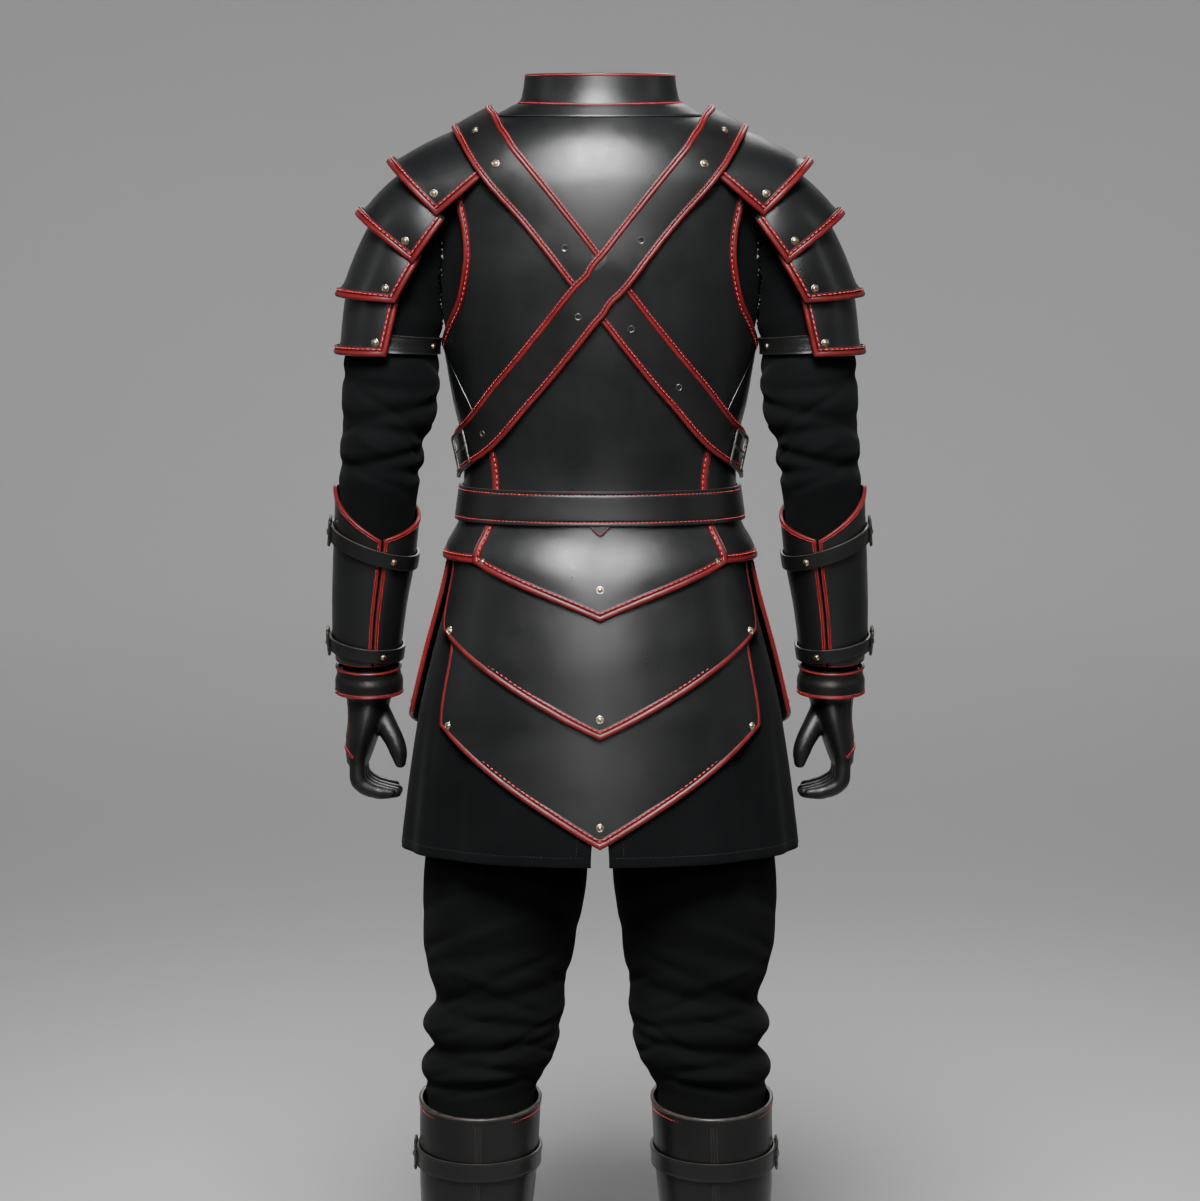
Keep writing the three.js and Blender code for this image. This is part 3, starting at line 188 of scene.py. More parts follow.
ARM_TABLE = Table(
    "s x y z roll pitch wide deep",
    [
        (0, 146, 0, 1404, 64, 0, 64, 54), (35, 178, 0, 1392, 56, 0, 66, 56), (72, 204, 0, 1364, 40, 0, 62, 58),
        (115, 222, -1, 1325, 22, 0, 56, 58), (145, 230, -2, 1296, 10, 0, 53.5, 57),
        (178, 236.3, -3, 1262, 4, 0, 50.5, 54), (205, 238, -4, 1236, 2, 0, 55, 57),
        (244, 239, -6, 1197, 0, 0, 56, 58), (302, 248, -8, 1139, 0, 3, 49.5, 54),
        (326, 251, -8, 1115, 0, 6, 49.5, 53), (361, 254, -4, 1080, 0, 9, 45.5, 48),
        (430, 260, 8, 1012, 0, 10, 43, 45), (483, 266, 17, 960, 0, 10, 39, 41), (530, 269, 25, 914, 0, 10, 35.5, 37),
        (566, 268, 31, 878, 0, 8, 30, 33), (592, 268, 35, 852, 0, 4, 29, 34),
    ],
)
LEG_TABLE = Table(
    "height x y wide deep",
    [
        (830, 91, -2, 90, 104), (770, 97, -2, 93, 102), (700, 106, -2, 93.5, 98), (640, 110, -2, 94.5, 94),
        (590, 113.5, -2, 90.5, 88), (545, 115.5, -3, 85, 82), (510, 113, -4, 76, 76), (474, 119, -6, 82, 80),
        (450, 118.5, -7, 74, 75), (427, 126.5, -8, 76, 77), (405, 133, -10, 65.5, 65), (380, 133, -10, 62, 62),
        (335, 134, -11, 61, 61),
    ],
)
BOOT_TABLE = Table(
    "height x y wide deep slope",
    [
        (92, 146, 6, 44, 58, 0), (130, 145, -2, 45, 50, 0), (190, 142, -10, 53, 55, 1), (260, 138.5, -14, 65, 64, 3),
        (330, 135.5, -13, 69, 69, 4), (389, 134, -11, 70.5, 71, 5),
    ],
)
FOOT_SHIFT = {Side.LEFT: -5.0, Side.RIGHT: -4.0}


class Figure:
    """The clothed body's shape. Angle 0 is the middle of the back and 90 degrees the right side."""

    @staticmethod
    def surface(angle: Array, height: Array) -> Array:
        """Points on the figure itself.

        Args:
            angle: Angles round the body, in radians.
            height: Heights above the soles.

        Returns:
            The points.
        """
        angle, height = np.broadcast_arrays(np.asarray(angle, float), np.asarray(height, float))
        cos = np.cos(angle)
        depth = np.where(cos > 0, FIGURE_TABLE.at("back", height), FIGURE_TABLE.at("front", height))
        power = 2 / FIGURE_TABLE.at("square", height)
        side = FIGURE_TABLE.at("side", height)
        return stack(side * power_of(np.sin(angle), power), -depth * power_of(cos, power), height)

    @classmethod
    def frame(cls, angle: Array, height: Array) -> tuple[Array, Array, Array]:
        """The ways across, up and out at points of the figure."""
        across = (cls.surface(angle + 0.02, height) - cls.surface(angle - 0.02, height)) / 0.04
        up = (cls.surface(angle, height + 1) - cls.surface(angle, height - 1)) / 2
        return across, up, unit(np.cross(across, up))

    @classmethod
    def at(cls, angle: Array, height: Array, lift: Array) -> Array:
        """Points that stand off the figure by lift."""
        angle, height = np.broadcast_arrays(np.asarray(angle, float), np.asarray(height, float))
        out = cls.frame(angle, height)[2]
        return cls.surface(angle, height) + out * np.asarray(lift, float)[..., None]

    @staticmethod
    def angle_at(x: Array, height: Array) -> Array:
        """The angle at which the back reaches a distance x from the middle."""
        x = np.asarray(x, float)
        share = np.abs(x) / FIGURE_TABLE.at("side", height)
        return np.sign(x) * np.arcsin(np.minimum(1, share ** (FIGURE_TABLE.at("square", height) / 2)))

    @staticmethod
    def holds(points: Array, lift: float) -> Array:
        """Whether points lie inside the figure grown by lift."""
        height = points[..., 2]
        depth = np.where(points[..., 1] < 0, FIGURE_TABLE.at("back", height), FIGURE_TABLE.at("front", height))
        square = FIGURE_TABLE.at("square", height)
        side = FIGURE_TABLE.at("side", height)
        share = (np.abs(points[..., 0]) / (side + lift)) ** square + (np.abs(points[..., 1]) / (depth + lift)) ** square
        return share < 1


def arm_point(side: Side, s: Array, angle: Array, lift: Array) -> Array:
    """Points on an arm. Angle 0 is outside, 90 degrees behind, 180 inside and 270 in front.

    Args:
        side: Which arm.
        s: Distances down the arm from the shoulder.
        angle: Angles round it, in radians.
        lift: How far the points stand off it.

    Returns:
        The points.
    """
    roll = ARM_TABLE.at("roll", s) * DEGREE
    pitch = ARM_TABLE.at("pitch", s) * DEGREE
    out = (ARM_TABLE.at("wide", s) + lift) * np.cos(angle)
    back = (ARM_TABLE.at("deep", s) + lift) * np.sin(angle)
    return stack(
        side.sign * (ARM_TABLE.at("x", s) + out * np.cos(roll)),
        ARM_TABLE.at("y", s) - back * np.cos(pitch),
        ARM_TABLE.at("z", s) + out * np.sin(roll) - back * np.sin(pitch),
    )


def foot_shift(side: Side, height: Array) -> Array:
    """How far a foot stands aside, fading out up the thigh."""
    return FOOT_SHIFT[side] * (1 - smooth(450, 640, height))


def boot_point(side: Side, height: Array, angle: Array, lift: Array) -> Array:
    """Points on a boot's shaft, whose rim slopes down to the back."""
    back = (BOOT_TABLE.at("deep", height) + lift) * np.sin(angle)
    tilt = 2 * np.tan(BOOT_TABLE.at("slope", height) * DEGREE) * smooth(250, 380, height)
    out = (BOOT_TABLE.at("wide", height) + lift) * np.cos(angle)
    x = side.sign * (BOOT_TABLE.at("x", height) + out) + foot_shift(side, height)
    return stack(x, BOOT_TABLE.at("y", height) - back, height - back * tilt)


class Nodes:
    """A short way to write a material's nodes and the links between them."""

    def __init__(self, name: str) -> None:
        """Makes an empty material with a principled surface."""
        self.material = bpy.data.materials.new(name)
        self.material.use_nodes = True
        self.tree = self.material.node_tree
        self.surface = next(n for n in self.tree.nodes if n.type == "BSDF_PRINCIPLED")
        self.place = self.add("ShaderNodeTexCoord").outputs["Object"]

    def add(self, kind: str, links: dict[str, object] | None = None, **settings: object) -> bpy.types.Node:
        """Adds a node.

        Args:
            kind: Blender's name of the node type.
            links: For each input, a socket to link or a value to set.
            settings: The node's own settings.

        Returns:
            The node.
        """
        node = self.tree.nodes.new(kind)
        for key, value in settings.items():
            setattr(node, key, value)
        for key, value in (links or {}).items():
            socket = node.inputs[int(key)] if key.isdigit() else node.inputs[key]
            if isinstance(value, bpy.types.NodeSocket):
                self.tree.links.new(value, socket)
            else:
                socket.default_value = value
        return node

    def noise(self, scale: float, detail: float = 3.0, roughness: float = 0.5) -> bpy.types.NodeSocket:
        """Soft noise with so many patches to a metre."""
        links = {"Vector": self.place, "Scale": scale, "Detail": detail, "Roughness": roughness}
        return self.add("ShaderNodeTexNoise", links).outputs["Fac"]

    def cells(self, scale: float, feature: str = "DISTANCE_TO_EDGE") -> bpy.types.NodeSocket:
        """Cells like the pebbles of a hide, with so many to a metre."""
        links = {"Vector": self.place, "Scale": scale, "Randomness": 0.9}
        return self.add("ShaderNodeTexVoronoi", links, feature=feature).outputs["Distance"]

    def remap(self, value: bpy.types.NodeSocket, span: tuple[float, float, float, float]) -> bpy.types.NodeSocket:
        """The value moved from the first two numbers of span to the last two."""
        keys = ("From Min", "From Max", "To Min", "To Max")
        return self.add("ShaderNodeMapRange", {"Value": value, **dict(zip(keys, span))}).outputs["Result"]

    def blend(self, share: bpy.types.NodeSocket, low: object, high: object) -> bpy.types.NodeSocket:
        """A colour between low and high."""
        full = [c if isinstance(c, bpy.types.NodeSocket) else (*c, 1.0) for c in (low, high)]
        node = self.add("ShaderNodeMix", {"0": share}, data_type="RGBA")
        for socket, colour in zip((node.inputs[6], node.inputs[7]), full):
            if isinstance(colour, bpy.types.NodeSocket):
                self.tree.links.new(colour, socket)
            else:
                socket.default_value = colour
        return node.outputs[2]

    def worn(self) -> bpy.types.NodeSocket:
        """How rubbed each place is, as the meshes' wear attribute says."""
        return self.add("ShaderNodeAttribute", attribute_name="wear").outputs["Fac"]

    def bump(self, height: bpy.types.NodeSocket, depth: float, under: bpy.types.NodeSocket | None = None,
             strength: float = 1.0) -> bpy.types.NodeSocket:
        """A relief of that depth in metres, laid over another one."""
        links: dict[str, object] = {"Height": height, "Distance": depth, "Strength": strength}
        if under is not None:
            links["Normal"] = under
        return self.add("ShaderNodeBump", links).outputs["Normal"]

    def link(self, source: bpy.types.NodeSocket, name: str) -> None:
        """Links a socket to the surface."""
        self.tree.links.new(source, self.surface.inputs[name])

    def set(self, **values: float) -> None:
        """Sets numbers on the surface's own sockets; a _ in a name stands for a space."""
        for key, value in values.items():
            self.surface.inputs[key.replace("_", " ")].default_value = value


@dataclass(frozen=True)
class Leather:
    """A leather: its colours, gloss, and how deep its grain, creases and handling marks go."""

    name: str
    slot: str
    deep: Colour
    light: Colour
    rubbed: Colour
    roughness: float = 0.4
    roughness_spread: float = 0.08
    pebble: float = 1.1
    pebble_depth: float = 0.00005
    crease_depth: float = 0.00025
    coat: float = 0.0

    def make(self) -> bpy.types.Material:
        """Builds the leather's nodes.

        Returns:
            The material.
        """
        n = Nodes(self.name)
        patches = n.remap(n.noise(7, 4), (0.35, 0.68, 0, 1))
        colour = n.blend(patches, self.deep, self.light)
        rub = n.add("ShaderNodeMath", {"0": n.worn(), "1": n.remap(n.noise(90, 4), (0.3, 0.65, 0.25, 1))},
                    operation="MULTIPLY").outputs[0]
        n.link(n.blend(rub, colour, self.rubbed), "Base Color")
        base, spread = self.roughness, self.roughness_spread
        smudges = n.remap(n.noise(16, 5, 0.6), (0.3, 0.7, base - spread, base + spread))
        fine = n.remap(n.noise(420, 2), (0.3, 0.7, -0.04, 0.04))
        n.link(n.add("ShaderNodeMath", {"0": smudges, "1": fine}).outputs[0], "Roughness")
        creases = n.bump(n.noise(38, 5, 0.55), self.crease_depth)
        pores = n.bump(n.noise(900, 2), self.pebble_depth * 0.8, creases)
        n.link(n.bump(n.cells(1000 / self.pebble), self.pebble_depth, pores), "Normal")
        n.set(Specular_IOR_Level=0.3, Coat_Weight=self.coat * 0.6, Coat_Roughness=0.3)
        return n.material


@dataclass(frozen=True)
class Weave:
    """A woven cloth: its colours, the width of a thread, and how much it catches the light."""

    name: str
    slot: str
    deep: Colour
    light: Colour
    thread: float = 0.7
    relief: float = 0.00012
    sheen: float = 0.12

    def ribs(self, n: Nodes, scale: float, turn: tuple[float, float, float]) -> bpy.types.NodeSocket:
        """Parallel threads across one direction."""
        turned = n.add("ShaderNodeMapping", {"Vector": n.place, "Rotation": turn}).outputs[0]
        links = {"Vector": turned, "Scale": scale, "Distortion": 0.6, "Detail": 1.0, "Detail Scale": 2.0}
        return n.add("ShaderNodeTexWave", links, wave_type="BANDS", bands_direction="X").outputs["Fac"]

    def make(self) -> bpy.types.Material:
        """Builds the cloth's nodes.

        Returns:
            The material.
        """
        n = Nodes(self.name)
        scale = BAND_PERIOD * 1000 / self.thread
        warp = self.ribs(n, scale, (0.0, 0.9, 0.8))
        weft = self.ribs(n, scale * 0.8, (0.3, -0.7, -0.75))
        threads = n.add("ShaderNodeMath", {"0": warp, "1": weft}, operation="MAXIMUM").outputs[0]
        patches = n.remap(n.noise(11, 4), (0.3, 0.7, 0, 1))
        body = n.blend(patches, self.deep, self.light)
        lit = n.remap(threads, (0, 1, 0, 0.35))
        n.link(n.blend(lit, body, tuple(min(1.0, 2.2 * c) for c in self.light)), "Base Color")
        n.link(n.remap(n.noise(60, 3), (0.3, 0.7, 0.82, 0.98)), "Roughness")
        soft = n.bump(n.noise(45, 4, 0.6), 0.0007)
        n.link(n.bump(threads, self.relief, soft), "Normal")
        n.set(Specular_IOR_Level=0.02, Sheen_Weight=self.sheen, Sheen_Roughness=0.45)
        return n.material


@dataclass(frozen=True)
class Metal:
    """A cast metal with a dull film in soft patches."""

    name: str
    slot: str
    bright: Colour
    dull: Colour
    roughness: float = 0.28

    def make(self) -> bpy.types.Material:
        """Builds the metal's nodes.

        Returns:
            The material.
        """
        n = Nodes(self.name)
        film = n.remap(n.noise(260, 4, 0.6), (0.42, 0.62, 0, 1))
        n.link(n.blend(film, self.bright, self.dull), "Base Color")
        n.link(n.remap(film, (0, 1, self.roughness, self.roughness + 0.22)), "Roughness")
        n.link(n.bump(n.noise(700, 3), 0.00006), "Normal")
        n.set(Metallic=1.0)
        return n.material


@dataclass(frozen=True)
class Rubber:
    """A moulded sole: matt, with scuffs."""

    name: str
    slot: str
    deep: Colour
    light: Colour

    def make(self) -> bpy.types.Material:
        """Builds the rubber's nodes.

        Returns:
            The material.
        """
        n = Nodes(self.name)
        n.link(n.blend(n.remap(n.noise(30, 5, 0.65), (0.4, 0.7, 0, 1)), self.deep, self.light), "Base Color")
        n.link(n.remap(n.noise(70, 4), (0.3, 0.7, 0.6, 0.85)), "Roughness")
        n.link(n.bump(n.noise(500, 3), 0.0001), "Normal")
        return n.material


@dataclass(frozen=True)
class Paint:
    """A plain studio surface with a faint unevenness."""

    name: str
    colour: Colour
    slot: str = ""

    def make(self) -> bpy.types.Material:
        """Builds the surface's nodes."""
        n = Nodes(self.name)
        n.link(n.blend(n.noise(0.7, 2), self.colour, tuple(c * 0.96 for c in self.colour)), "Base Color")
        n.set(Roughness=0.9, Specular_IOR_Level=0.1)
        return n.material


class Finish(Enum):
    """Every finish of the set."""

    PLATE = Leather("plate_leather", "black_leather", (0.0034, 0.0036, 0.0038), (0.0062, 0.0064, 0.0067),
                    (0.034, 0.031, 0.029), roughness=0.37, coat=0.15)
    STRAP = Leather("strap_hide", "strap_leather", (0.0030, 0.0030, 0.0030), (0.0058, 0.0057, 0.0056),
                    (0.042, 0.032, 0.026), roughness=0.38, pebble=0.8, coat=0.12)
    BINDING = Leather("oxblood_binding", "red_binding", (0.036, 0.0009, 0.0018), (0.072, 0.0018, 0.0031),
                      (0.125, 0.010, 0.010), roughness=0.42, pebble=0.9, pebble_depth=0.00007, crease_depth=0.0002,
                      coat=0.05)
    # A second copy of the oxblood binding, made for the edges that lie in shade on the hip plates, forearm guards and
    # gloves: a shaded copy of one material, as painted shade.
    SHADED_BINDING = Leather("shaded_oxblood", "red_binding", (0.040, 0.0020, 0.0026), (0.085, 0.0036, 0.0045),
                          (0.160, 0.016, 0.014), roughness=0.42)
    FLANGE = Leather("oxblood_flange", "red_binding", (0.026, 0.0012, 0.0019), (0.056, 0.0022, 0.0034),
                     (0.120, 0.012, 0.012), roughness=0.5)
    THREAD = Weave("red_thread", "red_binding", (0.270, 0.010, 0.017), (0.460, 0.048, 0.052), thread=0.25,
                   relief=0.00008)
    DARK_THREAD = Weave("black_thread", "tunic_cloth", (0.008, 0.008, 0.009), (0.020, 0.020, 0.022), thread=0.25,
                        relief=0.00008)
    TUNIC = Weave("tunic_weave", "tunic_cloth", (0.0014, 0.0016, 0.0017), (0.0030, 0.0033, 0.0034), thread=0.9,
                  sheen=0.015)
    TROUSERS = Weave("trouser_weave", "trouser_cloth", (0.0016, 0.0017, 0.0017), (0.0034, 0.0036, 0.0036), thread=1.0,
                     relief=0.00016, sheen=0.012)
    GLOVE = Leather("glove_hide", "glove_leather", (0.0024, 0.0023, 0.0022), (0.0048, 0.0045, 0.0043),
                    (0.038, 0.031, 0.027), roughness=0.40, pebble=0.7, crease_depth=0.0006)
    BOOT = Leather("boot_hide", "boot_leather", (0.0024, 0.0023, 0.0022), (0.0048, 0.0045, 0.0043),
                   (0.040, 0.032, 0.027), roughness=0.40, crease_depth=0.0005, coat=0.08)
    SOLE = Rubber("sole_rubber", "boot_sole", (0.0085, 0.0080, 0.0076), (0.022, 0.020, 0.018))
    STEEL = Metal("blackened_steel", "buckle_steel", (0.190, 0.180, 0.165), (0.045, 0.040, 0.036), roughness=0.34)
    BRASS = Metal("rivet_brass", "buckle_steel", (0.62, 0.52, 0.39), (0.17, 0.12, 0.07), roughness=0.24)
    # A near-black disc set inside each eyelet: painted shade standing in for the open punched hole.
    HOLE_SHADE = Leather("painted_hole_shade", "strap_leather", (0.0008, 0.0008, 0.0008), (0.0015, 0.0015, 0.0015),
                   (0.01, 0.01, 0.01), roughness=0.9)
    BACKDROP = Paint("studio_grey", (0.38, 0.38, 0.38))

    def material(self) -> bpy.types.Material:
        """This finish's material, made the first time that it is asked for."""
        return bpy.data.materials.get(self.value.name) or self.value.make()


@dataclass
class Shell:
    """Points and faces of one piece, in millimetres above the soles, with how rubbed each point is."""

    points: Array
    faces: list[tuple[int, ...]]
    wear: Array | None = None

    def worn(self) -> Array:
        """How rubbed each point is, 0 where nothing says."""
        return np.zeros(len(self.points)) if self.wear is None else np.asarray(self.wear, float)

    def __add__(self, other: "Shell") -> "Shell":
        """Both shells as one."""
        shift = len(self.points)
        faces = self.faces + [tuple(i + shift for i in face) for face in other.faces]
        return Shell(np.concatenate([self.points, other.points]), faces, np.concatenate([self.worn(), other.worn()]))


def joined(shells: Iterable[Shell]) -> Shell:
    """Many shells as one.

    Args:
        shells: The shells, at least one.

    Returns:
        One shell with all their points and faces.
    """
    points, faces, wear, shift = [], [], [], 0
    for shell in shells:
        points.append(shell.points)
        wear.append(shell.worn())
        faces.extend(tuple(i + shift for i in face) for face in shell.faces)
        shift += len(shell.points)
    return Shell(np.concatenate(points), faces, np.concatenate(wear))


def turned_out(shell: Shell) -> Shell:
    """The shell with its faces looking out of the closed volume that they bound."""
    p = shell.points
    volume = sum(float(np.dot(p[f[0]], np.cross(p[f[i]], p[f[i + 1]]))) for f in shell.faces for i in (1, len(f) - 2))
    if volume < 0:
        shell.faces = [face[::-1] for face in shell.faces]
    return shell


def quads(index: Array) -> Array:
    """The squares of a grid of point numbers."""
    corners = (index[:-1, :-1], index[1:, :-1], index[1:, 1:], index[:-1, 1:])
    return np.stack([c.ravel() for c in corners], axis=1)


def strip(a: Array, b: Array) -> Array:
    """The squares between two rows of point numbers."""
    return np.stack([a[:-1], a[1:], b[1:], b[:-1]], axis=1)


def wall(outer: Array, inner: Array, closed: bool = False, wear: Array | None = None) -> Shell:
    """A closed wall between an outer and an inner grid.

    Args:
        outer: The outer points, by column and row.
        inner: The inner points, in the same order.
        closed: Whether the last column joins the first.
        wear: How rubbed each outer point is.

    Returns:
        The wall.
    """
    columns, rows = outer.shape[:2]
    index = np.arange(2 * columns * rows).reshape(2, columns, rows)
    if closed:
        index = np.concatenate([index, index[:, :1]], axis=1)
    out, into = index
    parts = [quads(out), quads(into)[:, ::-1], strip(into[:, 0], out[:, 0]), strip(out[:, -1], into[:, -1])]
    if not closed:
        parts += [strip(out[0], into[0]), strip(into[-1], out[-1])]
    faces = np.concatenate(parts)
    points = np.concatenate([outer.reshape(-1, 3), inner.reshape(-1, 3)])
    a, b, c, d = (points[faces[:, i]] for i in range(4))
    volume = np.einsum("ij,ij->", a, np.cross(b, c)) + np.einsum("ij,ij->", a, np.cross(c, d))
    if volume < 0:
        faces = faces[:, ::-1]
    rubbed = np.zeros((columns, rows)) if wear is None else np.broadcast_to(wear, (columns, rows))
    return Shell(points, [tuple(f) for f in faces.tolist()], np.concatenate([rubbed.ravel(), 0 * rubbed.ravel()]))


def sheet(point: PointAt, across: Array, along: Array, inner: float, thickness: float, closed: bool = False,
          rubbed: float = 0.0) -> Shell:
    """A wall laid on a surface, thinned at its free edges so that they look cut and rounded.

    Args:
        point: The surface, as a function of across, along and lift.
        across: The grid's columns.
        along: The grid's rows.
        inner: How far the inside stands off the surface.
        thickness: The wall's thickness.
        closed: Whether the last column joins the first.
        rubbed: How rubbed the free edges are.

    Returns:
        The wall.
    """
    u, v = np.meshgrid(across, along, indexing="ij")
    rim = np.zeros(u.shape)
    rim[:, [0, -1]] = 1
    if not closed:
        rim[[0, -1], :] = 1
    drop = 0.3 * thickness * rim
    outer = point(u, v, inner + thickness - drop)
    inside = point(u, v, inner + 0 * u)
    return wall(outer, inside, closed, wear=rim * rubbed)


def near_ends(count: int, low: float = 0.0, high: float = 1.0, end: float = 0.006) -> Array:
    """Even steps from low to high with one more just inside each end."""
    inner = np.linspace(low, high, count + 1)
    reach = (high - low) * end
    return np.sort(np.concatenate([inner, [low + reach, high - reach]]))


@dataclass
class Rail:
    """A line along the edge of a surface, with the ways out of it and in from the edge."""

    points: Array
    normals: Array
    inward: Array
    stretch: Array
    closed: bool = False

    @classmethod
    def along(cls, point: PointAt, corners: Sequence[tuple[float, float]], lift: float, inside: tuple[float, float],
              spacing: float = 5.0, clear: float = 9.0, closed: bool = False) -> "Rail":
        """A rail through corners given on the surface.

        Args:
            point: The surface.
            corners: Places across and along it, in order, joined by straight lines on the surface.
            lift: How far the rail stands off the surface.
            inside: A place on the piece, which says which way is in.
            spacing: The steps' length.
            clear: How far from a corner no other step may be.
            closed: Whether the rail is a loop that ends where it starts.

        Returns:
            The rail.
        """
        us, vs = [], []
        for k in range(len(corners) - 1):
            t = np.linspace(0, 1, 121)
            u = mix(corners[k][0], corners[k + 1][0], t)
            v = mix(corners[k][1], corners[k + 1][1], t)
            p = point(u, v, lift + 0 * u)
            run = np.concatenate([[0], np.cumsum(np.linalg.norm(np.diff(p, axis=0), axis=1))])
            start = 0 if k == 0 and not closed else clear
            end = run[-1] - (0 if k == len(corners) - 2 and not closed else clear)
            marks = np.linspace(start, end, max(2, int((end - start) / spacing) + 1)) if end > start else np.array([])
            marks = np.concatenate([[0], marks[marks > 1e-6], [run[-1]]])
            marks = np.unique(np.round(marks, 6))
            us.append(np.interp(marks, run, u)[:-1])
            vs.append(np.interp(marks, run, v)[:-1])
        if not closed:
            us.append(np.array([corners[-1][0]]))
            vs.append(np.array([corners[-1][1]]))
        u, v = np.concatenate(us), np.concatenate(vs)
        p = point(u, v, lift + 0 * u)
        out = unit(point(u, v, lift + 1 + 0 * u) - p)
        middle = point(np.array([inside[0]]), np.array([inside[1]]), np.array([lift]))[0]
        return cls.through(p, out, middle, closed)

    @classmethod
    def through(cls, points: Array, normals: Array, middle: Array, closed: bool = False) -> "Rail":
        """A rail through points, with its inward side towards the middle.

        Args:
            points: The points in order.
            normals: The way out of the surface at each.
            middle: A point on the inward side.
            closed: Whether the last point joins the first.

        Returns:
            The rail.
        """
        after = np.roll(points, -1, axis=0) - points
        before = np.roll(after, 1, axis=0)
        if not closed:
            after[-1], before[0] = before[-1], after[0]
        first, second = unit(before), unit(after)
        tangent = unit(first + second)
        inward = unit(np.cross(normals, tangent))
        square = unit(np.cross(normals, first))
        stretch = 1 / np.clip(np.sum(inward * square, axis=1), 0.55, 1)
        if np.sum((middle - points) * inward) < 0:
            inward = -inward
        return cls(points, normals, inward, stretch, closed)

    def offset(self, inset: float, height: float) -> Array:
        """The rail's points moved in from the edge and out of the surface."""
        return self.points + self.inward * (inset * self.stretch)[:, None] + self.normals * height

    def sweep(self, profile: Sequence[tuple[float, float]], wear: Sequence[float] | None = None,
              ends: bool = True) -> Shell:
        """A closed section carried along the rail.

        Args:
            profile: The section's corners, each as the way in from the edge and the way out of the surface.
            wear: How rubbed each corner is.
            ends: Whether an open rail's ends are capped.

        Returns:
            The swept piece.
        """
        rings = np.stack([self.offset(inset, height) for inset, height in profile], axis=1)
        count, corners = rings.shape[:2]
        index = np.arange(count * corners).reshape(count, corners)
        grid = np.concatenate([index, index[:, :1]], axis=1)
        if self.closed:
            grid = np.concatenate([grid, grid[:1]], axis=0)
        faces = [tuple(f) for f in quads(grid).tolist()]
        if ends and not self.closed:
            faces += [tuple(index[0][::-1].tolist())[::-1], tuple(index[-1].tolist())[::-1]]
        rubbed = None if wear is None else np.tile(np.asarray(wear, float), count)
        return turned_out(Shell(rings.reshape(-1, 3), faces, rubbed))


# Section of a rolled edge: the fold over the plate's edge, then the groove, then the sewn flange. Each corner is
# the way in from the edge, the way out of the face, and how rubbed it is.
ROLL = [
    (4.9, 0.05, 0), (4.7, 0.7, 0), (4.0, 1.25, 0.15), (3.0, 1.6, 0.5), (2.0, 1.7, 0.9), (0.9, 1.45, 0.7),
    (-0.1, 0.9, 0.3), (-0.7, 0.1, 0.1), (-0.8, -1.0, 0), (-0.75, -2.4, 0), (-0.3, -3.4, 0), (0.8, -3.75, 0),
    (3.2, -3.75, 0), (3.4, -3.3, 0), (0.6, -3.2, 0), (0.6, -0.2, 0), (4.9, -0.2, 0),
]
FLANGE = [(4.8, -0.9), (5.0, 0.9), (5.8, 1.25), (7.3, 1.22), (8.2, 0.9), (8.5, -0.9)]
STITCH_INSET = 6.55
STITCH_HEIGHT = 1.28


def thread_run(line: Array, normals: Array, pitch: float, length: float, radius: float, closed: bool = False) -> Shell:
    """A row of stitches along a line.

    Args:
        line: The line's points.
        normals: The way out of the surface at each.
        pitch: The distance from stitch to stitch.
        length: A stitch's length.
        radius: The thread's radius.
        closed: Whether the line is a loop.

    Returns:
        The stitches.
    """
    if closed:
        line, normals = np.concatenate([line, line[:1]]), np.concatenate([normals, normals[:1]])
    run = np.concatenate([[0], np.cumsum(np.linalg.norm(np.diff(line, axis=0), axis=1))])
    count = max(1, int(run[-1] / pitch))
    marks = (np.arange(count) + 0.5) * run[-1] / count

    def read(values: Array, at: Array) -> Array:
        """The values at distances along the line."""
        return np.stack([np.interp(at, run, values[:, k]) for k in range(3)], axis=1)

    centre = read(line, marks)
    ahead = unit(read(line, np.minimum(marks + 0.4, run[-1])) - read(line, np.maximum(marks - 0.4, 0)))
    up = read(normals, marks)
    up = unit(up - ahead * np.sum(up * ahead, axis=1, keepdims=True))
    side = np.cross(ahead, up)
    rings = [(-0.5, 0.25, -0.5), (-0.3, 1.0, 0.1), (0.3, 1.0, 0.1), (0.5, 0.25, -0.5)]
    around = (np.arange(4) + 0.5) * TURN / 4
    template = np.array([
        (place * length, size * radius * math.cos(a), (sink + size * math.sin(a)) * radius)
        for place, size, sink in rings for a in around
    ])
    index = np.arange(16).reshape(4, 4)
    faces = quads(np.concatenate([index, index[:, :1]], axis=1)).tolist() + [index[0].tolist(), index[3].tolist()[::-1]]
    return scattered(template, faces, centre, ahead, side, up)


def scattered(template: Array, faces: list[list[int]], centre: Array, ahead: Array, side: Array, up: Array) -> Shell:
    """Copies of a small shape, each set on its own place and axes.

    Args:
        template: The shape's points along ahead, side and up.
        faces: Its faces.
        centre: The copies' places.
        ahead: The copies' first axes.
        side: The second.
        up: The third.

    Returns:
        All the copies as one shell.
    """
    axes = np.stack([ahead, side, up], axis=1)
    points = centre[:, None] + np.einsum("tk,nkc->ntc", template, axes)
    shift = np.arange(len(centre)) * len(template)
    all_faces = [tuple(i + int(s) for i in face) for s in shift for face in faces]
    return Shell(points.reshape(-1, 3), all_faces)


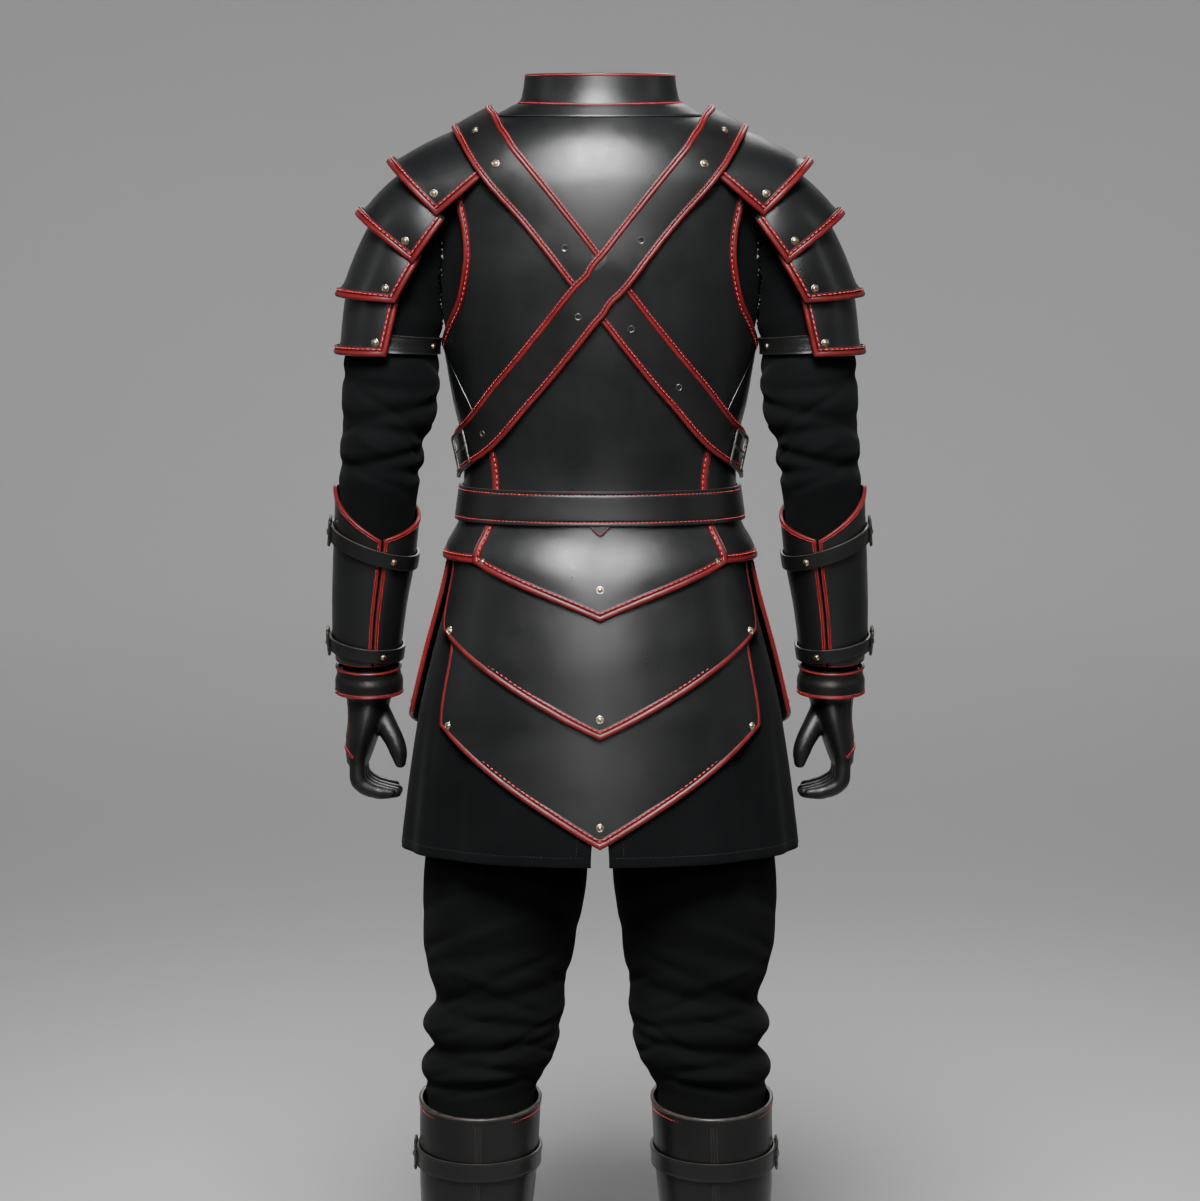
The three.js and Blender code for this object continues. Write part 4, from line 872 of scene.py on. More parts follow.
def turned_disc(profile: Sequence[tuple[float, float]], places: Array, normals: Array, count: int = 20) -> Shell:
    """A turned shape, such as a rivet's head, set on each place.

    Args:
        profile: Radius and height from the rim to the middle, the last on the axis.
        places: Where each stands.
        normals: The way each faces.
        count: How many sides a turn has.

    Returns:
        The shapes.
    """
    around = np.arange(count) * TURN / count
    template = [(r * math.cos(a), r * math.sin(a), h) for r, h in profile[:-1] for a in around]
    template.append((0.0, 0.0, profile[-1][1]))
    rings = len(profile) - 1
    index = np.arange(rings * count).reshape(rings, count)
    grid = np.concatenate([index, index[:, :1]], axis=1)
    faces = quads(grid.T[:, :]).tolist()
    tip = rings * count
    faces += [[int(index[-1][k]), int(index[-1][(k + 1) % count]), tip] for k in range(count)]
    places, up = np.atleast_2d(places), unit(np.atleast_2d(normals))
    helper = np.where(np.abs(up[:, 2:3]) < 0.9, np.array([[0.0, 0.0, 1.0]]), np.array([[1.0, 0.0, 0.0]]))
    ahead = unit(np.cross(helper, up))
    return scattered(np.array(template), faces, places, ahead, np.cross(up, ahead), up)


RIVET = [(4.1, -0.4), (4.1, 0.35), (3.7, 0.6), (3.2, 0.55), (3.05, 0.5), (2.9, 1.1), (2.3, 1.8), (1.3, 2.25), (0, 2.4)]
EYELET = [(3.9, -0.2), (3.9, 0.3), (3.5, 0.62), (2.9, 0.5), (2.6, 0.12), (2.55, -0.1), (0, -0.15)]
# A flat disc that fills an eyelet's opening, painted dark as the hole's shade.
PAINTED_HOLE_DISC = [(2.6, 0.05), (0, 0.0)]


def add_piece(name: str, shell: Shell, finish: Finish, nodes: Sequence[str] = (), sharp: float = 42.0
              ) -> bpy.types.Object:
    """Makes one piece of the set, puts it on the frame and reports it.

    Args:
        name: The piece's name.
        shell: Its points and faces.
        finish: Its finish.
        nodes: The solids of the frame that it stands for.
        sharp: The angle in degrees from which an edge looks sharp.

    Returns:
        The piece.
    """
    mesh = bpy.data.meshes.new(name)
    points = (shell.points - np.array([0, 0, HELD_HEIGHT])) / 1000
    mesh.from_pydata(points.tolist(), [], shell.faces)
    mesh.validate(verbose=False)
    mesh.update()
    if shell.wear is not None and np.any(shell.wear):
        attribute = mesh.attributes.new("wear", "FLOAT", "POINT")
        attribute.data.foreach_set("value", shell.worn().astype(np.float32))
    return place_piece(bpy.data.objects.new(name, mesh), finish, nodes, sharp)


def place_piece(piece: bpy.types.Object, finish: Finish, nodes: Sequence[str] = (), sharp: float = 42.0
                ) -> bpy.types.Object:
    """Finishes a mesh object, puts it on the frame and reports it.

    Args:
        piece: The mesh object.
        finish: Its finish.
        nodes: The solids of the frame that it stands for.
        sharp: The angle in degrees from which an edge looks sharp.

    Returns:
        The same object.
    """
    if piece.name not in bpy.context.scene.collection.objects:
        bpy.context.scene.collection.objects.link(piece)
    piece.data.materials.clear()
    piece.data.materials.append(finish.material())
    piece.data.shade_smooth()
    piece.data.set_sharp_from_angle(angle=sharp * DEGREE)
    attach(piece, BODY)
    if nodes:
        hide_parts(*nodes)
    LOG.info("%s: %d faces in %s", piece.name, len(piece.data.polygons), finish.value.name)
    return piece


@dataclass
class EdgeWork:
    """The rolled edges, flanges and stitches of one sub-assembly, gathered and then made as three pieces."""

    name: str
    scale: float = 1.15
    red: Finish = Finish.BINDING
    rolls: list[Shell] = field(default_factory=list)
    flanges: list[Shell] = field(default_factory=list)
    threads: list[Shell] = field(default_factory=list)
    rivets: list[Shell] = field(default_factory=list)

    def bind(self, rail: Rail, thickness: float = PANEL, sewn: bool = True) -> None:
        """Rolls an edge and sews its flange.

        Args:
            rail: The edge, at the plate's outer face.
            thickness: The plate's thickness.
            sewn: Whether the flange and its stitches show.
        """
        k = self.scale
        fold = [(x * k, h * k if h > -0.5 else h * thickness / PANEL) for x, h, _ in ROLL]
        self.rolls.append(rail.sweep(fold, [w for _, _, w in ROLL]))
        if sewn:
            self.flanges.append(rail.sweep([(x * k, h * k) for x, h in FLANGE]))
            line = rail.offset(STITCH_INSET * k, STITCH_HEIGHT * k)
            self.threads.append(thread_run(line, rail.normals, 5.6 * k, 4.1 * k, 0.62 * k, rail.closed))

    def stud(self, places: Array, normals: Array, size: float = 1.0) -> None:
        """Sets rivets."""
        self.rivets.append(turned_disc([(1.1 * r * size, h * size) for r, h in RIVET], places, normals))

    def stud_on(self, point: PointAt, spots: Sequence[tuple[float, float]], lift: float, size: float = 1.0) -> None:
        """Sets rivets on a surface, at places across and along it."""
        u, v = np.array(spots, float).T
        at = point(u, v, lift + 0 * u)
        self.stud(at, unit(point(u, v, lift + 1 + 0 * u) - at), size)

    def make(self) -> None:
        """Makes the gathered pieces."""
        parts = (
            ("binding", self.rolls, self.red),
            ("flange", self.flanges, Finish.FLANGE),
            ("stitches", self.threads, Finish.THREAD),
            ("rivets", self.rivets, Finish.BRASS),
        )
        for word, shells, finish in parts:
            if shells:
                add_piece(f"{self.name}_{word}", joined(shells), finish)


def panel_reach(height: Array) -> Array:
    """The angle at which the back panel ends: the waist seam, the armhole, and above them the shoulder seam."""
    height = np.asarray(height, float)
    edge = Figure.angle_at(PANEL_EDGE.at("x", np.minimum(height, SHOULDER_SEAM_HEIGHT)), height)
    return mix(edge, math.pi / 2, smooth(1484, 1494, height))


@dataclass
class BodyPanels:
    """The back and front panels, the side panels between them, and their rolled edges."""

    chevron_tip: float = 954.0
    chevron_rise: float = 61.0
    waist: float = 1056.0
    waist_share: float = 0.1
    trim_top: float = 1178.0

    def height(self, across: Array, along: Array) -> Array:
        """The height at a place on a panel, whose foot follows the chevron."""
        low = self.chevron_tip + self.chevron_rise * np.abs(across) ** 0.85
        foot = mix(low, self.waist, along / self.waist_share)
        body = mix(self.waist, NECK_HEIGHT, (along - self.waist_share) / (1 - self.waist_share))
        return np.where(along < self.waist_share, foot, body)

    def along(self, height: float) -> float:
        """The share along a panel at which it has that height."""
        return self.waist_share + (1 - self.waist_share) * (height - self.waist) / (NECK_HEIGHT - self.waist)

    def flare(self, across: Array, height: Array) -> Array:
        """How far the panels stand out below the belt, over the hanging plates."""
        full = mix(self.height(across, 0.0 * across), self.waist, 0.25)
        return (UPPER_LIFT - PANEL_LIFT) * smooth(1062, full, height)

    def main(self, front: bool) -> PointAt:
        """The surface of the back or the front panel."""

        def point(across: Array, along: Array, lift: Array) -> Array:
            """A place on the panel, from -1 to 1 across it."""
            height = self.height(across, along)
            angle = across * (panel_reach(height) - SEAM / FIGURE_TABLE.at("side", height))
            return Figure.at(math.pi - angle if front else angle, height, lift + self.flare(across, height))

        return point

    def side(self, side: Side) -> PointAt:
        """The surface of a side panel, from the back seam to the front one."""

        def point(across: Array, along: Array, lift: Array) -> Array:
            """A place on the side panel, from 0 to 1 across it."""
            height = self.height(1 + 0 * across, along)
            start = panel_reach(height) + SEAM / FIGURE_TABLE.at("side", height)
            angle = mix(start, math.pi - start, across)
            return Figure.at(side.sign * angle, height, lift + self.flare(1 + 0 * across, height))

        return point

    def build(self) -> None:
        """Builds the panels with their edges and rivets."""
        face = PANEL_LIFT + PANEL
        rows = np.concatenate([[0, 0.004], np.linspace(0.012, 0.1, 12), np.linspace(0.113, 0.994, 74), [1]])
        for front in (False, True):
            word = "front" if front else "back"
            point = self.main(front)
            shell = sheet(point, near_ends(68, -1, 1, 0.004), rows, PANEL_LIFT, PANEL, rubbed=0.8)
            add_piece(f"{word}_panel_leather", shell, Finish.PLATE, [f"{word}_panel"])
            edges = EdgeWork(f"{word}_panel")
            trim = self.along(self.trim_top)
            corners = [(-1, trim), (-1, 0), (0, 0), (1, 0), (1, trim)]
            edges.bind(Rail.along(point, corners, face, (0, 0.3)))
            for end in (-1, 1):
                hole = [(end, self.along(ARMHOLE_FOOT + 2)), (end, self.along(1487))]
                edges.bind(Rail.along(point, hole, face, (0, 0.6)))
            edges.stud_on(point, [(0, 0.034), (-0.9, 0.014), (0.9, 0.014)], face)
            edges.make()
        rows = np.concatenate([[0, 0.004], np.linspace(0.012, 0.1, 10), np.linspace(0.11, self.along(1262), 52)])
        for side in Side:
            point = self.side(side)
            shell = sheet(point, near_ends(28), rows, PANEL_LIFT, PANEL, rubbed=0.6)
            add_piece(f"side_panel_leather_{side.label}", shell, Finish.PLATE, [f"side_panel_{side.label}"])
            edges = EdgeWork(f"side_panel_{side.label}")
            edges.bind(Rail.along(point, [(0, 0), (1, 0)], face, (0.5, 0.3)))
            edges.make()


@dataclass
class Collar:
    """The standing collar, with a narrow flange on the panels and two thin sewn cords round it."""

    flange: tuple[float, float] = (1512.0, 1520.0)
    thickness: float = 3.0
    back_drop: float = 3.0
    rings: tuple[tuple[float, float, float, float, float], ...] = (
        (88.5, 75, 86, 1535, 14), (84.5, 70.5, 83, 1548, 5), (82, 67, 81, 1566, 3))

    def point(self, angle: Array, along: Array, lift: Array) -> Array:
        """A place round the collar, from the flange's edge at 0 to the top at 1."""
        rings = [
            Figure.at(angle, height + 0 * angle, BELT_LIFT - settled + thin * lift)
            for height, settled, thin in zip(self.flange, (1.0, 0.5), (0.45, 0.9))
        ]
        for side, back, front, height, lean in self.rings:
            out = lift * math.cos(lean * DEGREE)
            depth = np.where(np.cos(angle) > 0, back, front) + out
            drop = self.back_drop * np.cos(angle) ** 2 * (1 - smooth(1530, 1560, height))
            z = height - drop + lift * math.sin(lean * DEGREE)
            rings.append(stack((side + out) * np.sin(angle), -depth * np.cos(angle), z))
        grid = np.stack(rings)
        place = np.clip(along, 0, 1) * (len(rings) - 1)
        i = np.minimum(place.astype(int), len(rings) - 2)
        t = (place - i)[..., None]

        def ring(step: int) -> Array:
            """The ring that many steps on, at every place."""
            k = np.clip(i + step, 0, len(rings) - 1)
            return np.take_along_axis(grid, k[None, ..., None], axis=0)[0]

        a, b = ring(0), ring(1)
        slope_a, slope_b = (b - ring(-1)) / 2, (ring(2) - a) / 2
        t2, t3 = t * t, t * t * t
        return (2 * t3 - 3 * t2 + 1) * a + (t3 - 2 * t2 + t) * slope_a + (3 * t2 - 2 * t3) * b + (t3 - t2) * slope_b

    def build(self) -> None:
        """Builds the collar and its cords."""
        angles = np.linspace(0, TURN, 121)[:-1]
        rows = np.concatenate([[0, 0.02], np.linspace(0.06, 0.94, 26), [0.98, 1]])
        add_piece("collar_leather", sheet(self.point, angles, rows, 0, self.thickness, True, 0.9), Finish.PLATE,
                  ["collar"])
        cords, threads = [], []
        for along in (0.44, 0.955):
            line = self.point(angles, along + 0 * angles, self.thickness + 0 * angles)
            out = unit(self.point(angles, along + 0 * angles, self.thickness + 1 + 0 * angles) - line)
            rail = Rail.through(line, out, line.mean(axis=0) + np.array([0, 0, 50.0]), True)
            cords.append(rail.sweep([(-1.2, -0.2), (-1.1, 0.4), (0, 0.75), (1.1, 0.4), (1.2, -0.2)]))
            threads.append(thread_run(rail.offset(0, 0.72), out, 3.6, 2.6, 0.42, True))
        add_piece("collar_cord", joined(cords), Finish.BINDING)
        add_piece("collar_stitches", joined(threads), Finish.THREAD)


@dataclass(frozen=True)
class RearPlate:
    """One plate behind the hips: its bottom edge from the middle outwards, its top and its sides."""

    node: str
    lift: float
    middle_top: float
    side_top: float
    tip: float
    corner: float
    corner_x: float
    top_x: float

    def point(self, across: Array, along: Array, lift: Array) -> Array:
        """A place on the plate."""
        wide = np.abs(across)
        lower = mix(self.tip, self.corner, wide)
        height = mix(lower, mix(self.middle_top, self.side_top, wide), along)
        reach = mix(self.corner_x, self.top_x, smooth(self.corner, self.side_top, height))
        return Figure.at(across * Figure.angle_at(reach - lift * 0.45, height), height, lift)


@dataclass
class HangingPlates:
    """The two pointed plates behind and the two hip plates at the sides."""

    plates: tuple[RearPlate, ...] = (
        RearPlate("rear_plate_middle", MIDDLE_LIFT, 984, 1021, 825, 937, 173, 161),
        RearPlate("rear_plate_lower", PANEL_LIFT, 872, 941, 704, 833, 179, 165),
    )
    hip_rear: float = 84.0
    hip_front: float = 166.0

    def hip(self, side: Side) -> PointAt:
        """The surface of a hip plate."""

        def point(across: Array, along: Array, lift: Array) -> Array:
            """A place on the plate, from its rear edge to its front one."""
            lower = np.where(across < 0.5, mix(838, 800, across * 2), mix(800, 856, across * 2 - 1))
            height = mix(lower, mix(1021, 988, np.maximum(0, across - 0.5) * 2), along)
            return Figure.at(side.sign * mix(self.hip_rear, self.hip_front, across) * DEGREE, height, lift)

        return point

    def build(self) -> None:
        """Builds the plates, their edges and rivets."""
        for plate in self.plates:
            face = plate.lift + PANEL
            shell = sheet(plate.point, near_ends(66, -1, 1, 0.004), near_ends(42), plate.lift, PANEL, rubbed=0.8)
            add_piece(f"{plate.node}_leather", shell, Finish.PLATE, [plate.node])
            edges = EdgeWork(plate.node)
            corners = [(-1, 0.97), (-1, 0), (0, 0), (1, 0), (1, 0.97)]
            edges.bind(Rail.along(plate.point, corners, face, (0, 0.5)))
            edges.stud_on(plate.point, [(0, 0.14), (-0.915, 0.1), (0.915, 0.1)], face)
            edges.make()
        for side in Side:
            point, face = self.hip(side), MIDDLE_LIFT + PANEL
            shell = sheet(point, near_ends(42), near_ends(36), MIDDLE_LIFT, PANEL, rubbed=0.8)
            add_piece(f"hip_plate_leather_{side.label}", shell, Finish.PLATE, [f"hip_plate_{side.label}"])
            # The hip plates' edges take the shaded copy of the binding: painted shade.
            edges = EdgeWork(f"hip_plate_{side.label}", scale=0.9, red=Finish.SHADED_BINDING)
            corners = [(0, 0.97), (0, 0), (0.5, 0), (1, 0), (1, 0.97)]
            edges.bind(Rail.along(point, corners, face, (0.5, 0.5)))
            edges.stud_on(point, [(0.09, 0.08), (0.5, 0.09), (0.91, 0.08)], face)
            edges.make()


@dataclass
class Buckle:
    """A cast frame with a prong, lying on a strap of a given width."""

    width: float
    bar: float = 4.5
    clear: float = 3.0
    length: float = 0.9
    height: float = 3.4

    def shell(self, place: Array, run: Array, out: Array) -> Shell:
        """The buckle at a place.

        Args:
            place: The middle of its underside.
            run: The way that the strap runs.
            out: The way that the strap faces.

        Returns:
            The frame and the prong.
        """
        up = np.cross(out, run)
        high = self.width + 2 * (self.bar + self.clear)
        long = high * self.length
        a, b, r = (long - self.bar) / 2, (high - self.bar) / 2, 4.0
        turn = np.linspace(0, math.pi / 2, 6)
        line = []
        for k, (sx, sy) in enumerate(((1, 1), (-1, 1), (-1, -1), (1, -1))):
            angle = turn + k * math.pi / 2
            line += [(sx * (a - r) + r * math.cos(t), sy * (b - r) + r * math.sin(t)) for t in angle]
        points = np.array([place + run * x + up * y + out * (self.height / 2) for x, y in line])
        rail = Rail.through(points, np.tile(out, (len(points), 1)), place, True)
        half, tall = self.bar / 2, self.height / 2
        ring = [(half * math.cos(t), tall * math.sin(t)) for t in np.linspace(0, TURN, 11)[:-1]]
        frame_bar = rail.sweep(ring)
        reach = np.linspace(-a - 0.5, a + 1.5, 12)
        arch = self.height * 0.5 + 1.9 * np.sin(np.clip((reach + a) / (2 * a), 0, 1) * math.pi) ** 0.5 + 0.8
        prong = np.array([place + run * x + out * h for x, h in zip(reach, arch)])
        size = np.interp(reach, [-a, 0, a + 1.5], [1.9, 1.7, 1.0])
        rings = [
            [prong[k] + up * size[k] * math.cos(t) + out * size[k] * 0.7 * math.sin(t) for t in np.arange(8) * TURN / 8]
            for k in range(len(prong))
        ]
        index = np.arange(len(prong) * 8).reshape(len(prong), 8)
        faces = [tuple(f) for f in quads(np.concatenate([index, index[:, :1]], axis=1)).tolist()]
        faces += [tuple(index[0].tolist()), tuple(index[-1].tolist()[::-1])]
        return frame_bar + turned_out(Shell(np.array(rings).reshape(-1, 3), faces))


CROSS_ROWS = Table(
    "t x height turned",
    [
        (0, 62, 1402, 1), (1, 88.7, 1434, 1), (2, 121, 1473, 1), (3, 134, 1492, 1), (4, 138.5, 1500, 0.5),
        (5, 134, 1492, 0), (6, 121, 1473, 0), (7, 88.7, 1434, 0), (8, 44.3, 1380, 0), (9, 0, 1325, 0),
        (10, -44.3, 1269, 0), (11, -89, 1213, 0), (12, -127, 1161, 0), (13, -151, 1128, 0),
    ],
)


def cross_angles() -> Table:
    """The straps' angles round the figure, by their rows."""
    t, x, height, turned = (CROSS_ROWS.columns[k] for k in ("t", "x", "height", "turned"))
    flat = Figure.angle_at(x, height)
    angle = np.where(turned == 1, math.pi - flat, np.where(turned == 0.5, math.pi / 2, flat))
    return Table("t angle height", list(zip(t, angle, height)))


@dataclass
class CrossStraps:
    """The two straps that cross behind, the right one over the left."""

    width: float = 41.0
    shoulder_lift: float = 9.2
    crossing_lift: float = 4.4
    waist_lift: float = 2.1
    buckle_at: float = 12.5

    def strap(self, side: Side) -> PointAt:
        """The surface of one strap, by its place t and its share across."""
        rows = cross_angles()

        def path(t: Array) -> tuple[Array, Array, Array]:
            """The angle, height and lift of the strap's middle."""
            lift = STRAP_LIFT + self.shoulder_lift * smooth(7.4, 6.3, t) * smooth(0.6, 1.7, t)
            lift = lift + self.waist_lift * smooth(10.9, 11.8, t)
            if side is Side.RIGHT:
                lift = lift + self.crossing_lift * smooth(7.7, 8.6, t) * smooth(10.3, 9.4, t)
            return side.sign * rows.at("angle", t), rows.at("height", t), lift

        def point(t: Array, across: Array, lift: Array) -> Array:
            """A place on the strap."""
            angle, height, base = path(t)
            ahead, behind = path(t + 0.004), path(t - 0.004)
            along = unit(Figure.surface(*ahead[:2]) - Figure.surface(*behind[:2]))
            right, up, out = Figure.frame(angle, height)
            aside = unit(np.cross(along, out))
            aa, bb, ab = (np.sum(p * q, axis=-1) for p, q in ((right, right), (up, up), (right, up)))
            sa, sb = np.sum(aside * right, axis=-1), np.sum(aside * up, axis=-1)
            share = across * self.width / (aa * bb - ab * ab)
            return Figure.at(angle + (sa * bb - sb * ab) * share, height + (sb * aa - sa * ab) * share, base + lift)

        return point

    def build(self) -> None:
        """Builds the straps, their edges, rivets, holes and buckles."""
        for side in Side:
            point = self.strap(side)
            word = side.label
            shell = sheet(point, near_ends(170, 0, 13, 0.001), near_ends(8, -0.5, 0.5, 0.02), 0, STRAP, rubbed=0.8)
            add_piece(f"cross_strap_leather_{word}", shell, Finish.STRAP, [f"cross_strap_{word}"])
            edges = EdgeWork(f"cross_strap_{word}", scale=0.85)
            for end in (-0.5, 0.5):
                edges.bind(Rail.along(point, [(0.0, end), (6.5, end), (13.0, end)], STRAP, (6, 0), clear=2), STRAP)
            edges.stud_on(point, [(0.35, 0.0), (1.2, 0.0), (5.3, 0.0), (6.45, 0.0)], STRAP)
            edges.make()
            holes = (8.15, 9.75, 10.9) if side is Side.LEFT else (9.5, 11.9, 8.0)
            t = np.array(holes)
            at = point(t, 0 * t, STRAP + 0 * t)
            out = unit(point(t, 0 * t, STRAP + 1 + 0 * t) - at)
            add_piece(f"cross_strap_eyelets_{word}", turned_disc(EYELET, at, out), Finish.STEEL)
            # Near-black discs in the eyelets, as painted shade where the holes open.
            add_piece(f"cross_strap_hole_shades_{word}", turned_disc(PAINTED_HOLE_DISC, at, out), Finish.HOLE_SHADE)
            t = np.array([self.buckle_at - 0.05, self.buckle_at, self.buckle_at + 0.05])
            at = point(t, 0 * t, STRAP + 0.8 + 0 * t)
            out = unit(point(t, 0 * t, STRAP + 1.8 + 0 * t) - at)[1]
            run = unit(at[2] - at[0])
            add_piece(f"side_buckle_steel_{word}", Buckle(30).shell(at[1], run, out), Finish.STEEL,
                      [f"side_buckle_{word}"])


@dataclass
class Belt:
    """The waist belt with its front buckle, tail, keeper and the little bound point under its back."""

    lower: float = 1060.0
    upper: float = 1100.0
    thickness: float = 4.0

    def point(self, angle: Array, along: Array, lift: Array) -> Array:
        """A place on the belt, creased along both edges."""
        crease = 0.45 * (np.exp(-(((along - 0.11) / 0.03) ** 2)) + np.exp(-(((along - 0.89) / 0.03) ** 2)))
        crown = 0.5 * (1 - (2 * along - 1) ** 4)
        shape = np.where(lift > BELT_LIFT + 1, crown - crease, 0)
        return Figure.at(angle, mix(self.lower, self.upper, along), lift + shape)

    def build(self) -> None:
        """Builds the belt and what is on it."""
        angles = np.linspace(0, TURN, 145)[:-1]
        rows = np.concatenate([[0, 0.015], np.linspace(0.05, 0.17, 9), np.linspace(0.2, 0.8, 9),
                               np.linspace(0.83, 0.95, 9), [0.985, 1]])
        shell = sheet(self.point, angles, rows, BELT_LIFT, self.thickness, True, 1.0)
        add_piece("belt_leather", shell, Finish.STRAP, ["belt"])
        face = BELT_LIFT + self.thickness
        threads = []
        for along in (0.11, 0.89):
            line = self.point(angles, along + 0 * angles, face + 0 * angles)
            out = unit(self.point(angles, along + 0 * angles, face + 1 + 0 * angles) - line)
            threads.append(thread_run(line + out * 0.25, out, 5.0, 3.4, 0.42, True))
        add_piece("belt_stitches", joined(threads), Finish.THREAD)
        middle = np.array([math.pi])
        place = self.point(middle, np.array([0.5]), np.array([face + 1.3]))[0]
        buckle = Buckle(self.upper - self.lower).shell(place, np.array([1.0, 0, 0]), np.array([0, 1.0, 0]))
        add_piece("belt_buckle_steel", buckle, Finish.STEEL, ["belt_buckle"])
        tail = np.linspace(math.pi + 0.27, math.pi + 0.75, 24)
        u, v = np.meshgrid(tail, np.linspace(0.04, 0.96, 13), indexing="ij")
        point_end = 0.5 + (v - 0.5) * (1 - 0.75 * smooth(math.pi + 0.66, math.pi + 0.75, u) ** 2)
        outer, inner = (self.point(u, point_end, face + lift + 0 * u) for lift in (3.2, 0.7))
        add_piece("belt_tail", wall(outer, inner), Finish.STRAP)
        self.keeper(face)
        self.under_point(face)

    def keeper(self, face: float) -> None:
        """A loop that holds the belt's tail."""
        u, v = np.meshgrid(np.linspace(math.pi + 0.42, math.pi + 0.50, 7), np.linspace(-0.03, 1.03, 17), indexing="ij")
        loft = 5.4 - 5.0 * (np.abs(2 * v - 1) ** 14)
        add_piece("belt_keeper", wall(self.point(u, v, face + loft), self.point(u, v, face - 1.6 + loft)), Finish.STRAP)

    def under_point(self, face: float) -> None:
        """A small bound point that shows under the middle of the back."""
        def point(across: Array, along: Array, lift: Array) -> Array:
            """A place on the little point."""
            height = mix(1049 + 11 * np.abs(across), 1066, along)
            return Figure.at(across * 8.5 / 155, height, lift)

        base = PANEL_LIFT + PANEL + 2.0
        u, v = np.meshgrid(np.linspace(-1, 1, 13), np.linspace(0, 1, 7), indexing="ij")
        tab = wall(point(u, v, base + 1.4 + 0 * u), point(u, v, base - 1.0 + 0 * u))
        add_piece("belt_point", tab, Finish.PLATE)
        rail = Rail.along(point, [(-1, 0), (0, 0), (1, 0)], base + 1.4, (0, 0.5), spacing=2, clear=2.2)
        add_piece("belt_point_binding", rail.sweep([(1.7, 0), (1.4, 0.6), (0.6, 0.8), (-0.2, 0.4), (-0.3, -1.2),
                                                    (0.5, -1.3)]), Finish.BINDING)


@dataclass(frozen=True)
class LameEdge:
    """A half ellipse from the back corner over the tip to the front corner, or a line laid on the figure."""

    x: float = 0.0
    z: float = 0.0
    tip_x: float = 0.0
    tip_z: float = 0.0
    deep: float = 0.0
    laid: tuple[float, float, float, float] | None = None

    def point(self, angle: Array) -> Array:
        """Points at angles from -90 degrees at the back to 90 at the front."""
        cos = np.maximum(np.cos(angle), 0)
        if self.laid:
            start, low, high, lift = self.laid
            height = mix(low, high, cos**1.3)
            return Figure.at(mix(math.pi / 2, start * DEGREE, -angle / (math.pi / 2)), height, lift)
        out = cos**0.92
        return stack(mix(self.x, self.tip_x, out), self.deep * power_of(np.sin(angle), 0.92),
                     mix(self.z, self.tip_z, out))


@dataclass(frozen=True)
class Lame:
    """One shoulder plate between an upper and a lower edge."""

    upper: LameEdge
    lower: LameEdge
    bulge: float
    flare: float = 5.0

    def surface(self, angle: Array, along: Array) -> Array:
        """The plate's inside, without lift."""
        a, b = self.upper.point(angle), self.lower.point(angle)
        away = stack(0.55 * np.cos(angle), 0.85 * np.sin(angle), 0.8 * np.cos(angle))
        share = np.asarray(along, float)[..., None]
        return a + (b - a) * share + away * 4 * self.bulge * share * (1 - share)

    def point(self, side: Side) -> PointAt:
        """The plate's surface on one side of the body."""

        def place(across: Array, along: Array, lift: Array) -> Array:
            """A place on the plate, from its back edge to its front one and from its top to its foot."""
            angle = mix(-math.pi / 2, math.pi / 2, across) * 0.9999
            along = np.asarray(along, float) + 0 * angle
            sweep = self.surface(np.minimum(angle + 0.02, 1.5706), along)
            sweep = sweep - self.surface(np.maximum(angle - 0.02, -1.5706), along)
            down = self.surface(angle, along + 0.02) - self.surface(angle, along - 0.02)
            tip = self.flare * smooth(0.84, 1, along) * np.cos(angle) ** 2
            p = self.surface(angle, along) + unit(np.cross(down, sweep)) * np.asarray(lift + tip)[..., None]
            return p * np.array([side.sign, 1, 1])

        return place


@dataclass
class ShoulderLames:
    """Four overlapping plates on each shoulder."""

    lames: tuple[Lame, ...] = (
        Lame(LameEdge(laid=(37, 1457, 1499.5, 8.2)), LameEdge(182, 1408, 237, 1461, 85), 4.5),
        Lame(LameEdge(174, 1404, 202, 1466, 80.4), LameEdge(209, 1355, 271, 1404, 80), 6),
        Lame(LameEdge(199, 1364, 243, 1421, 72.4), LameEdge(230, 1311, 293, 1314, 76), 6),
        Lame(LameEdge(225, 1319, 285, 1330, 68), LameEdge(241, 1250, 294, 1250, 70), 1.5),
    )

    def build(self) -> None:
        """Builds the plates, their edges and rivets."""
        for side in Side:
            for number, lame in enumerate(self.lames, 1):
                name = f"shoulder_lame_{number}_{side.label}"
                point = lame.point(side)
                shell = sheet(point, near_ends(46), near_ends(16, end=0.02), 0, LAME, rubbed=0.8)
                add_piece(f"{name}_leather", shell, Finish.PLATE, [name])
                edges = EdgeWork(name)
                top = 0.06 if number > 1 else 0.03
                corners = [(0, top), (0, 1), (0.5, 1), (1, 1), (1, top)]
                edges.bind(Rail.along(point, corners, LAME, (0.5, 0.5), clear=8), LAME)
                edges.stud_on(point, [(0.075, 0.80), (0.925, 0.80)], LAME)
                edges.make()


GUARD_TOP = Table("degrees s", [(0, 342), (100, 394), (140, 386), (180, 378), (270, 352), (360, 342)])


